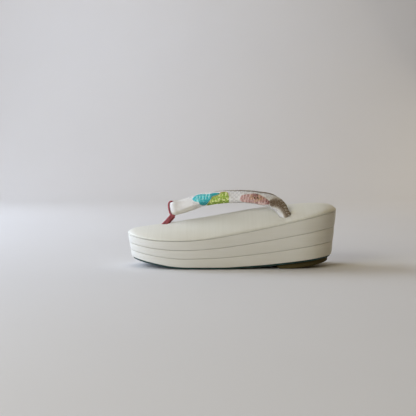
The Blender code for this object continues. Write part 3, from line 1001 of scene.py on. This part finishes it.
def fold_rings(turns):
    """Rings round the front fold, without its two ends."""
    centre, along, across = fold_frame()
    rings = []
    for k in range(1, FOLD_STEPS):
        angle = math.pi * k / FOLD_STEPS
        radial = np.array((0.0, 1.0, 0.0)) * math.cos(angle) - along * math.sin(angle)
        half_wide = FOLD_HALF_WIDE - FOLD_PINCH * math.sin(angle) ** 2
        relief = strap_relief(np.zeros_like(turns), turns) * (1.0 - math.sin(angle))
        rings.append(oval_points(centre + radial * FOLD_RADIUS, across, radial,
                                 half_wide, FOLD_HALF_THICK, turns, relief))
    return rings


def build_strap(cloth):
    """The padded tube, from one rear hole round the fold to the other."""
    turns = full_turn(STRAP_SIDES)
    distances = BRANCH["distance"]
    far = [branch_points(d, turns, 0.0, 1.0) for d in distances]
    near = [branch_points(d, turns, 0.0, -1.0) for d in distances]
    fold = fold_rings(turns)
    rings = far[::-1] + fold + near
    half_fold = math.pi * FOLD_RADIUS / 2
    along = np.concatenate((distances[::-1] + half_fold,
                            np.abs(np.linspace(-half_fold, half_fold, len(fold) + 2)[1:-1]),
                            distances + half_fold))
    last = len(rings) - 1
    faces = grid_faces(len(rings), STRAP_SIDES)
    faces.append(list(range(STRAP_SIDES)))
    faces.append([last * STRAP_SIDES + k for k in reversed(range(STRAP_SIDES))])
    piece = new_piece("brocade_strap", np.concatenate(rings), faces, cloth)
    add_values(piece.data, "along", np.repeat(along, STRAP_SIDES))
    add_values(piece.data, "round", np.tile(turns / (2 * np.pi), len(rings)))
    upper = upper_seam(np.maximum(along - half_fold, 0.0))[:, None]
    middle = (LOWER_SEAM + upper) / 2
    facing = (LOWER_SEAM - upper) / 2 - np.abs(degrees_between(turns[None, :], middle))
    add_values(piece.data, "facing", facing.reshape(-1))
    outward(piece, joined=False)
    finished(piece, "brocade", "strap")


# Holes

def tube_piece(name, sections, material):
    """A closed tube over a row of sections, with flat ends."""
    count = len(sections[0])
    last = count * (len(sections) - 1)
    faces = grid_faces(len(sections), count)
    faces.append(list(range(count)))
    faces.append([last + k for k in reversed(range(count))])
    return outward(new_piece(name, np.concatenate(sections), faces, material))


def cut_with(piece, cutter):
    """Cut a piece once, and take the cutter away."""
    cut = piece.modifiers.new("hole", "BOOLEAN")
    cut.operation = "DIFFERENCE"
    cut.solver = "EXACT"
    cut.object = cutter
    apply_modifiers(piece)
    bpy.data.objects.remove(cutter, do_unlink=True)


def apply_modifiers(piece):
    """Replace a piece's mesh by what its modifiers make of it."""
    bpy.context.view_layer.update()
    graph = bpy.context.evaluated_depsgraph_get()
    made = bpy.data.meshes.new_from_object(piece.evaluated_get(graph))
    piece.modifiers.clear()
    piece.data = made


def hole_cutters():
    """Sections of the two rear holes and the front hole."""
    ends = branch_frames(branch_rows()[-HOLE_ROWS:], HOLE_STEPS)
    turns = full_turn(CUTTER_SIDES)
    rear = []
    for i, centre in enumerate(ends["centre"]):
        if i == len(ends["centre"]) - 1:
            centre = centre + unit(centre - ends["centre"][i - 1]) * GAP
        rear.append(oval_points(centre, ends["major"][i], ends["minor"][i], ends["half_wide"][i],
                                ends["half_thick"][i], turns, GAP))
    mirror = np.array((1.0, -1.0, 1.0))
    front = stem_sections(CUTTER_STEPS, CUTTER_SIDES, GAP, 0.0)
    return {"far_hole": rear, "near_hole": [ring * mirror for ring in rear], "front_hole": front}


# Front thong

def stem_line():
    """The stem's foot inside the hole, its place on the cushion and its top under the fold."""
    centre, along, across = fold_frame()
    hole = np.array((THONG_FROM_TOE - LENGTH / 2, 0.0, float(cushion_top(THONG_FROM_TOE / LENGTH, 0.0))))
    drop = FOLD_HALF_WIDE - FOLD_PINCH + GAP + BAND_THICKNESS / 2
    under = centre - along * FOLD_RADIUS - across * drop
    rise = unit(under - hole)
    return hole - rise * THONG_DEPTH, hole, under


def stem_sections(count, sides, grow, ribs):
    """Ribbed sections along the stem."""
    foot, _, top = stem_line()
    heading = unit(top - foot)
    major = np.array((heading[2], 0.0, -heading[0]))
    minor = np.array((0.0, 1.0, 0.0))
    turns = full_turn(sides)
    sections = []
    for k in range(count):
        share = k / (count - 1)
        width = STEM_FOOT_WIDTH + (STEM_TOP_WIDTH - STEM_FOOT_WIDTH) * share
        relief = ribs * STEM_RIB_DEPTH * (np.abs(np.cos(STEM_RIBS * turns / 2.0 + 0.4)) - 0.6)
        relief = relief + ribs * STEM_UNEVEN * np.sin(9.0 * share + 2.0 * turns)
        centre = foot + (top - foot) * share
        sections.append(oval_points(centre, major, minor, width / 2, STEM_BREADTH / 2,
                                    turns, relief + grow))
    return sections


def band_sections():
    """Ribbed sections of the band, round the fold's front."""
    centre, along, across = fold_frame()
    nose = centre - along * FOLD_RADIUS
    half_wide = FOLD_HALF_WIDE - FOLD_PINCH
    turns = full_turn(BAND_STEPS)
    behind = (1.0 + np.sin(turns)) / 2
    narrowing = np.minimum(1.0, BAND_TAPER * behind)
    breadth = BAND_FRONT_BREADTH + (BAND_BACK_BREADTH - BAND_FRONT_BREADTH) * narrowing
    slack = GAP + BAND_BACK_SLACK * behind
    inner = oval_points(nose, across, along, half_wide, FOLD_HALF_THICK, turns, slack)
    outer = oval_points(nose, across, along, half_wide, FOLD_HALF_THICK, turns, slack + BAND_THICKNESS)
    out_share = signed_power(np.sin(full_turn(BAND_SIDES)), BAND_CREST)
    side_share = signed_power(np.cos(full_turn(BAND_SIDES)), BAND_FLANK)
    ribs = RIB_DEPTH * np.abs(np.cos(BAND_RIBS * np.pi / 2 * side_share)) * np.clip(out_share, 0.0, 1.0)
    middle = ((inner + outer) / 2)[:, None]
    half = ((outer - inner) / 2)[:, None]
    rings = middle + half * out_share[:, None] + unit(half) * (ribs[:, None] - RIB_DEPTH / 2)
    rings[:, :, 1] += side_share * breadth[:, None] / 2
    return rings


def build_thong(material):
    """The band looped round the fold, with the stem under it."""
    total = BAND_STEPS * BAND_SIDES
    faces = [[i % total for i in face] for face in grid_faces(BAND_STEPS + 1, BAND_SIDES)]
    band = outward(new_piece("thong_band", np.concatenate(band_sections()), faces, material))
    stem = tube_piece("thong_stem", stem_sections(STEM_STEPS, STEM_SIDES, 0.0, 1.0), material)
    finished(band, "burgundy_band", "front_thong")
    finished(stem, "burgundy_band", "front_thong")


# Materials

class Nodes:
    """A material's nodes, added and linked in short lines."""

    def __init__(self, name):
        self.material = bpy.data.materials.new(name)
        self.material.use_nodes = True
        self.tree = self.material.node_tree
        self.shader = self.tree.nodes["Principled BSDF"]

    def add(self, kind, inputs=(), **settings):
        """A node with its settings and inputs, which are values or other nodes' outputs."""
        node = self.tree.nodes.new("ShaderNode" + kind)
        for key, value in settings.items():
            setattr(node, key, value)
        for key, value in dict(inputs).items():
            self.put(node.inputs[key], value)
        return node

    def put(self, socket, value):
        """Link an output to an input, or set its value."""
        if isinstance(value, bpy.types.NodeSocket):
            self.tree.links.new(value, socket)
        elif socket.type == "RGBA":
            socket.default_value = (*value, 1.0)
        else:
            socket.default_value = value

    def value(self, name):
        """A number stored at the vertices."""
        return self.add("Attribute", attribute_name=name).outputs["Fac"]

    def place(self, scale=(1.0, 1.0, 1.0)):
        """The object's own coordinates, stretched by a scale on each axis."""
        where = self.add("TexCoord").outputs["Object"]
        return self.add("Mapping", {"Vector": where, "Scale": scale}).outputs["Vector"]

    def noise(self, vector, scale, detail=4.0, rough=0.55):
        """A noise between 0 and 1."""
        inputs = {"Vector": vector, "Scale": scale, "Detail": detail, "Roughness": rough}
        return self.add("TexNoise", inputs).outputs["Fac"]

    def math(self, operation, a, b=0.0):
        """One sum."""
        return self.add("Math", {0: a, 1: b}, operation=operation).outputs[0]

    def between(self, value, low, high, to_low=0.0, to_high=1.0):
        """A value mapped from one range to another."""
        inputs = {"Value": value, "From Min": low, "From Max": high, "To Min": to_low, "To Max": to_high}
        return self.add("MapRange", inputs).outputs["Result"]

    def mix(self, factor, a, b):
        """A blend of two colours."""
        node = self.add("Mix", data_type="RGBA")
        self.put(node.inputs["Factor"], factor)
        self.put(node.inputs["A"], a)
        self.put(node.inputs["B"], b)
        return node.outputs["Result"]

    def bump(self, height, distance, strength=1.0, normal=None):
        """A bump from a height, with its distance in metres."""
        inputs = {"Height": height, "Distance": distance, "Strength": strength}
        if normal is not None:
            inputs["Normal"] = normal
        return self.add("Bump", inputs).outputs["Normal"]

    def set(self, **values):
        """Set or link sockets of the shader, named with underscores."""
        for key, value in values.items():
            self.put(self.shader.inputs[key.replace("_", " ")], value)


def cover_material(name, light, dark, streak):
    """Off-white leatherette: fine grain, soft sheen and faint streaks in one direction."""
    n = Nodes(name)
    tone = n.noise(n.place(), 18.0, 3.0)
    streaks = n.noise(n.place(streak), 1.0, 5.0, 0.6)
    blend = n.math("ADD", n.math("MULTIPLY", tone, 0.45), n.math("MULTIPLY", streaks, 0.55))
    shade = n.between(blend, 0.36, 0.64)
    fine = n.place()
    grain = n.add("TexVoronoi", {"Vector": fine, "Scale": 1900.0}, feature="SMOOTH_F1").outputs["Distance"]
    pores = n.noise(fine, 3200.0, 3.0)
    first = n.bump(n.math("ADD", grain, pores), PORE_DEPTH, 0.55)
    second = n.bump(streaks, STREAK_DEPTH, 0.5, first)
    n.set(Base_Color=n.mix(shade, dark, light),
          Roughness=n.between(pores, 0.3, 0.7, 0.44, 0.56), Normal=second,
          Specular_IOR_Level=0.42, Coat_Weight=0.06, Coat_Roughness=0.35)
    return n.material


def rubber_material(name, light, dark, grain_scale, roughness):
    """Matte rubber with a pebbled face and rubbed edges."""
    n = Nodes(name)
    where = n.place()
    tone = n.noise(where, 60.0, 6.0, 0.65)
    pebble = n.add("TexVoronoi", {"Vector": where, "Scale": grain_scale}).outputs["Distance"]
    speck = n.noise(where, grain_scale * 2.0, 2.0)
    edge = n.add("NewGeometry").outputs["Pointiness"]
    worn = n.between(edge, 0.50, 0.58)
    mixed = n.math("MAXIMUM", n.between(tone, 0.35, 0.70), worn)
    n.set(Base_Color=n.mix(mixed, dark, light),
          Roughness=n.between(tone, 0.3, 0.7, roughness - 0.06, roughness + 0.08),
          Normal=n.bump(n.math("ADD", pebble, speck), PEBBLE_DEPTH, 0.6), Specular_IOR_Level=0.4)
    return n.material


def strap_places(n):
    """Places along and round the strap, in metres, from the values at its vertices."""
    along = n.value("along")
    turn = n.value("round")
    around = n.math("MULTIPLY", turn, 2.0 * (STRAP_WIDTH + STRAP_THICKNESS) * OVAL_GIRTH)
    return n.add("CombineXYZ", {"X": along, "Y": around}).outputs["Vector"]


def strap_material():
    """White silk brocade with a faint silver figure outside, dull beige tricot behind, and painted shade on
    its underside toward the front and on its upper side toward the rear.
    """
    n = Nodes("strap_cloth")
    where = strap_places(n)
    outside = n.between(n.value("facing"), -1.5, 1.5)
    figure = n.add("TexVoronoi", {"Vector": where, "Scale": 230.0, "Randomness": 0.4},
                   voronoi_dimensions="2D").outputs["Distance"]
    petals = n.math("SINE", n.math("MULTIPLY", figure, 22.0))
    along = n.value("along")
    turn = n.value("round")
    figured = n.between(along, FIGURE_START, FIGURE_START + FIGURE_FADE)
    raised = n.math("MULTIPLY", n.between(petals, -0.1, 0.35), n.math("MULTIPLY", outside, figured))
    leaning = n.add("Mapping", {"Vector": where, "Rotation": (0.0, 0.0, 0.7)}).outputs["Vector"]
    twill = n.add("TexWave", {"Vector": leaning, "Scale": 520.0, "Distortion": 0.6, "Detail": 1.0})
    ribs = n.add("TexWave", {"Vector": where, "Scale": 420.0}, bands_direction="Y")
    tone = n.between(n.noise(n.place(), 110.0, 4.0, 0.6), 0.36, 0.66)
    clean = n.mix(tone, CLOTH_DARK, CLOTH_LIGHT)
    # Painted shade: the upper side is darkened toward the rear, where the strap turns away from the
    # windows, and the underside behind the fold, where the cloth turns under
    upper = n.between(turn, UPPER_TURN - UPPER_FADE, UPPER_TURN, 1.0, 0.0)
    rear = n.math("MULTIPLY", n.between(along, SHADED_START, SHADED_END, 0.0, 0.75), upper)
    under = n.math("MULTIPLY", n.between(turn, UNDER_TURN, UNDER_TURN + UNDER_FADE, 0.0, 0.6),
                   n.between(along, UNDER_END - FIGURE_FADE, UNDER_END, 1.0, 0.0))
    shaded = n.mix(under, clean, PAINTED_UNDER_SHADE)
    white = n.mix(rear, shaded, PAINTED_REAR_SHADE)
    silver = n.mix(n.math("MULTIPLY", raised, 0.5), white, CLOTH_SILVER)
    backing = n.mix(tone, BACKING_DARK, BACKING_LIGHT)
    weave = n.bump(n.math("ADD", twill.outputs["Fac"], ribs.outputs["Fac"]), WEAVE_DEPTH, 0.7)
    n.set(Base_Color=n.mix(outside, backing, silver), Roughness=n.between(raised, 0.0, 1.0, 0.62, 0.40),
          Normal=n.bump(raised, FIGURE_DEPTH, 0.6, weave), Sheen_Weight=0.12, Sheen_Roughness=0.4)
    return n.material


def velvet_material():
    """Burgundy ribbed cloth with a short pile, and painted highlights on the crests of its ribs."""
    n = Nodes("burgundy_velvet")
    where = n.place()
    pile = n.noise(where, 1500.0, 4.0, 0.7)
    patches = n.noise(where, 260.0, 3.0)
    # Painted highlight: the colour turns lighter on the convex crests of ribs and edges, where they catch
    # the light, and is patchy at random
    edge = n.between(n.add("NewGeometry").outputs["Pointiness"], 0.48, 0.54)
    blend = n.math("ADD", n.math("MULTIPLY", edge, 0.6), n.math("MULTIPLY", patches, 0.5))
    n.set(Base_Color=n.mix(n.between(blend, 0.2, 0.9), VELVET_DARK, VELVET_LIGHT),
          Roughness=0.8, Normal=n.bump(pile, PILE_DEPTH, 0.6), Sheen_Weight=0.6, Sheen_Roughness=0.35,
          Sheen_Tint=VELVET_SHEEN)
    return n.material


def thread_material(name, dark, middle, light, roughness):
    """Embroidery silk: each thread has its own shade, from the values at its vertices."""
    n = Nodes(name)
    shade = n.value("shade")
    low = n.mix(n.between(shade, 0.0, 0.5), dark, middle)
    full = n.mix(n.between(shade, 0.5, 1.0), low, light)
    fuzz = n.noise(n.place(), 2500.0, 3.0)
    n.set(Base_Color=full, Roughness=roughness, Normal=n.bump(fuzz, SILK_DEPTH, 0.5),
          Sheen_Weight=0.05, Sheen_Roughness=0.35, Specular_IOR_Level=0.5, Anisotropic=0.4)
    return n.material


def floor_material():
    """Pale matte paper."""
    n = Nodes("pale_floor")
    where = n.place()
    tone = n.noise(where, 3.0, 3.0)
    fibre = n.noise(where, 700.0, 2.0)
    n.set(Base_Color=n.mix(tone, PAPER_DARK, PAPER_LIGHT), Roughness=0.75,
          Normal=n.bump(fibre, FIBRE_DEPTH, 0.3), Specular_IOR_Level=0.25)
    return n.material


# Embroidery: threads laid on the strap's outer face

def patch_bounds(rows, along):
    """Where a patch begins and ends round the section, in radians."""
    column = dict(zip(PATCH_COLUMNS, zip(*rows)))
    starts = np.interp(along, column["along"], column["start"])
    ends = np.interp(along, column["along"], column["end"])
    return np.radians(starts), np.radians(ends)


def thread_mesh(name, distance, turns, shades, radius, rise, side, material):
    """Threads as thin tubes on the strap, from arrays with a row for each thread."""
    points = branch_points(distance, turns, rise, side)
    above = branch_points(distance, turns, rise + MM, side)
    normal = unit(above - points)
    tangent = unit(np.gradient(points, axis=1))
    across = np.cross(normal, tangent)
    count, length = distance.shape
    ends = np.sin(np.pi * (np.arange(length) + 0.35) / (length - 0.3)) ** THREAD_TAPER
    around = full_turn(THREAD_SIDES)
    size = (radius * ends)[None, :, None, None]
    ring = across[:, :, None, :] * np.cos(around)[None, None, :, None]
    ring = ring + normal[:, :, None, :] * np.sin(around)[None, None, :, None]
    vertices = (points[:, :, None, :] + size * ring).reshape(-1, 3)
    per = length * THREAD_SIDES
    one = grid_faces(length, THREAD_SIDES)
    one.append(list(range(THREAD_SIDES))[::-1])
    one.append([per - THREAD_SIDES + k for k in range(THREAD_SIDES)])
    faces = [[i + per * k for i in face] for k in range(count) for face in one]
    piece = new_piece(name, vertices, faces, material)
    add_values(piece.data, "shade", np.repeat(shades, per))
    outward(piece, joined=False)
    finished(piece, "brocade")


def thread_arrays(lines):
    """Places along and turns of threads, as arrays with a row for each thread."""
    return np.array([line[0] for line in lines]), np.array([line[1] for line in lines])


def satin_patch(patch, rows, pattern):
    """Satin threads across a patch, in staggered stitches, with their shades."""
    stitch = patch["stitch"] / STRAP_RADIUS
    lines, shades = [], []
    for along in np.arange(rows[0][0] * MM, rows[-1][0] * MM, THREAD_PITCH):
        low, high = patch_bounds(rows, along / MM)
        pieces = max(1, round((high - low) / stitch))
        cuts = np.linspace(low, high, pieces + 1)
        cuts[1:-1] += RANDOM.uniform(-STITCH_STAGGER, STITCH_STAGGER, pieces - 1) * stitch
        for start, end in zip(cuts, cuts[1:]):
            lean = RANDOM.uniform(-THREAD_LEAN, THREAD_LEAN)
            turns = np.linspace(start, end, THREAD_POINTS)
            lines.append((along + lean * np.linspace(-1, 1, THREAD_POINTS), turns))
            place = (along / MM, math.degrees((start + end) / 2))
            scatter = RANDOM.uniform(-patch["scatter"], patch["scatter"])
            shades.append(patch["shade"] + pattern(*place) + zone_change(patch["piece"], *place) + scatter)
    return *thread_arrays(lines), np.clip(np.array(shades), 0.0, 1.0)


def zone_change(piece, along, turn):
    """How much lighter a thread is for its place in a patch."""
    zones = [zone for zone in named(ZONE_COLUMNS, ZONE_ROWS) if zone["piece"] == piece]
    return sum(zone["change"] for zone in zones
               if zone["start"] < along < zone["end"] and turn > zone["turn"])


def teal_pattern(along, turn):
    """Light strokes across the middle of the leaf, and a dark lower lobe."""
    away = min(abs(along - spot + (turn - STROKE_MIDDLE) * STROKE_LEAN) for spot in LEAF_STROKES)
    light = 0.62 * (away < STROKE_HALF and STROKE_START < turn < STROKE_END)
    return light - 0.50 * eased((turn - LOBE_START) / LOBE_FADE)


def lime_pattern(along, turn):
    """Short stitches in light and dark groups."""
    long, around = LIME_GROUPS.shape
    return 0.95 * LIME_GROUPS[int(along / GROUP_LONG) % long, int(turn / GROUP_ROUND) % around] ** 2


def mauve_pattern(along, turn):
    """Light rings round the petal's centre, and brown toward the heel."""
    rise = math.radians(turn - PETAL_CENTRE[1]) * STRAP_RADIUS / MM
    away = math.hypot(along - PETAL_CENTRE[0], rise)
    ring = 0.42 * (math.sin(2 * math.pi * away / PETAL_RING) > 0.35)
    return ring - 0.18 * eased((along - BROWN_START) / BROWN_FADE)


def olive_pattern(along, turn):
    """A fade into the white below and in front, with light dots near the upper edge."""
    low, high = np.degrees(patch_bounds(OLIVE_ROWS, along))
    below = eased(1.0 - (high - turn) / OLIVE_FADE)
    above = 0.9 * eased(1.0 - (turn - low) / OLIVE_FADE) * (along < OLIVE_FADE_END)
    dot = 0.48 * (along > 115.0 and turn < 70.0 and math.sin(along * 2.0 + turn * 0.10) > 0.35)
    return 0.62 * max(below, above) + dot


def edge_thread(rows):
    """One thread along the upper edge of a patch."""
    along = np.linspace(rows[0][0], rows[-1][0], EDGE_POINTS)
    return thread_arrays([(along * MM, patch_bounds(rows, along)[0])])


def seed_threads():
    """Short dark stitches like seeds in the mauve patch."""
    along = np.linspace(-SEED_HALF, SEED_HALF, THREAD_POINTS)
    turn = np.linspace(-SEED_TURN, SEED_TURN, THREAD_POINTS)
    return thread_arrays([((x + along) * MM, np.radians(t + turn)) for x, t in SEEDS])


def loop_threads():
    """Gold loops beside the seeds."""
    angle = np.linspace(LOOP_OPENING, 2 * math.pi - LOOP_OPENING, 3 * THREAD_POINTS)
    along = LOOP_RADIUS * np.cos(angle)
    turn = math.degrees(LOOP_RADIUS / (STRAP_RADIUS / MM)) * np.sin(angle)
    return thread_arrays([((x + along) * MM, np.radians(t + turn)) for x, t in LOOPS])


def is_covered(along, turn):
    """Whether a flower at a place would touch a coloured patch."""
    for rows in (TEAL_ROWS, LIME_ROWS, MAUVE_ROWS, OLIVE_ROWS):
        low, high = np.degrees(patch_bounds(rows, along))
        beside = rows[0][0] - FLOWER_CLEAR_LONG < along < rows[-1][0] + FLOWER_CLEAR_LONG
        if beside and low - FLOWER_CLEAR_TURN < turn < high + FLOWER_CLEAR_TURN:
            return True
    return False


def flower_threads(centre, turn):
    """The threads of one flower, two bent ones for each petal."""
    lines = []
    reach = np.linspace(*FLOWER_REACH, THREAD_POINTS)
    bow = np.sin(np.linspace(0, math.pi, THREAD_POINTS))
    for petal in range(FLOWER_PETALS):
        for bend in (-FLOWER_BEND, FLOWER_BEND):
            swing = math.pi / 4 + 2 * math.pi * petal / FLOWER_PETALS + bend * bow
            lift = turn + np.degrees(reach * np.sin(swing) / (STRAP_RADIUS / MM))
            lines.append(((centre + reach * np.cos(swing)) * MM, np.radians(lift)))
    return lines


def silver_flowers():
    """Small four-petalled flowers in silver thread over the white parts of the face."""
    lines = []
    for row, turn in enumerate(FLOWER_TURNS):
        start = FLOWER_START + (row % 2) * FLOWER_PITCH / 2
        for centre in np.arange(start, FLOWER_END, FLOWER_PITCH):
            if not is_covered(centre, turn):
                lines += flower_threads(centre, turn)
    return thread_arrays(lines)


def build_embroidery():
    """The coloured, gold and silver figures on both branches."""
    silks = {silk["name"]: thread_material(**silk) for silk in named(SILK_COLUMNS, SILK_ROWS)}
    satin = {"teal_leaf": (TEAL_ROWS, teal_pattern), "lime_block": (LIME_ROWS, lime_pattern),
             "mauve_petal": (MAUVE_ROWS, mauve_pattern), "olive_leaf": (OLIVE_ROWS, olive_pattern)}
    single = {"gold_loops": loop_threads(), "seed_stitches": seed_threads(),
              "gold_edge": edge_thread(LIME_ROWS), "silver_flowers": silver_flowers()}
    figures = []
    for row in named(SATIN_COLUMNS, SATIN_ROWS):
        threads = satin_patch(row, *satin[row["piece"]])
        figures.append((row["piece"], threads, THREAD, SATIN_RISE, silks[row["silk"]]))
    for row in named(SINGLE_COLUMNS, SINGLE_ROWS):
        distance, turns = single[row["piece"]]
        threads = (distance, turns, np.full(len(distance), row["shade"]))
        figures.append((row["piece"], threads, row["radius"], row["rise"], silks[row["silk"]]))
    for branch, side in (("far", 1.0), ("near", -1.0)):
        for name, threads, radius, rise, silk in figures:
            thread_mesh(f"{name}_{branch}", *threads, radius, rise, side, silk)


# Stage, lights and camera

def build_stage(material):
    """A pale floor that curves up into a backdrop, and runs far out in front."""
    low = BACKDROP_DEPTH - BACKDROP_BEND
    profile = [(-FLOOR_FRONT, 0.0, FLOOR_FRONT * 2.0), (0.0, 0.0, BACKDROP_HALF), (low, 0.0, BACKDROP_HALF)]
    for k in range(1, BACKDROP_STEPS + 1):
        turn = math.pi / 2 * k / BACKDROP_STEPS
        profile.append((low + BACKDROP_BEND * math.sin(turn), BACKDROP_BEND * (1.0 - math.cos(turn)),
                        BACKDROP_HALF))
    profile.append((BACKDROP_DEPTH, BACKDROP_HEIGHT, BACKDROP_HALF))
    vertices = [(x, y, z) for y, z, half in profile for x in (-half, half)]
    faces = [[2 * i, 2 * i + 1, 2 * i + 3, 2 * i + 2] for i in range(len(profile) - 1)]
    stage = new_piece("studio_floor", vertices, faces, material)
    stage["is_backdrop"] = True


def area_light(name, place, target, width, height, power, tint):
    """A soft rectangular light that faces a target."""
    data = bpy.data.lights.new(name, "AREA")
    data.shape = "RECTANGLE"
    data.size = width
    data.size_y = height
    data.energy = power
    data.color = tint
    light = bpy.data.objects.new(name, data)
    light.location = place
    light.rotation_euler = (Vector(target) - Vector(place)).to_track_quat("-Z", "Y").to_euler()
    bpy.context.scene.collection.objects.link(light)


def build_lights():
    """The windows on the left, weak light from behind, the backdrop's light and a dim warm room."""
    for light in named(LIGHT_COLUMNS, LIGHT_ROWS):
        area_light(**light)
    world = bpy.data.worlds.new("room")
    world.use_nodes = True
    world.node_tree.nodes["Background"].inputs["Color"].default_value = (*ROOM_TINT, 1.0)
    bpy.context.scene.world = world


def build_camera():
    """The photograph's low view from the side."""
    data = bpy.data.cameras.new("camera")
    data.sensor_width = SENSOR
    data.lens = FOCAL_PIXELS / FRAME_PIXELS * SENSOR
    camera = bpy.data.objects.new("camera", data)
    camera.location = (CAMERA_X, -CAMERA_AWAY, CAMERA_HEIGHT)
    pitch = math.atan(HORIZON_PIXELS_UP / FOCAL_PIXELS)
    camera.rotation_euler = (math.pi / 2 - pitch, 0.0, 0.0)
    bpy.context.scene.collection.objects.link(camera)
    bpy.context.scene.camera = camera
    bpy.context.scene.view_settings.view_transform = "Standard"


def main():
    """Dress the whole shoe."""
    side_cover, top_cover = [cover_material(**row) for row in named(COVER_COLUMNS, COVER_ROWS)]
    dark_rubber, olive_rubber = [rubber_material(**row) for row in named(RUBBER_COLUMNS, RUBBER_ROWS)]
    build_camera()
    build_stage(floor_material())
    build_lights()
    build_layers(side_cover)
    build_outsole(dark_rubber)
    build_lift(olive_rubber)
    build_cushion(top_cover)
    build_strap(strap_material())
    build_thong(velvet_material())
    build_embroidery()


main()

low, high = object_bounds()
{"cad": [list(CAD_LOW), list(CAD_HIGH)], "visual": [list(low), list(high)]}
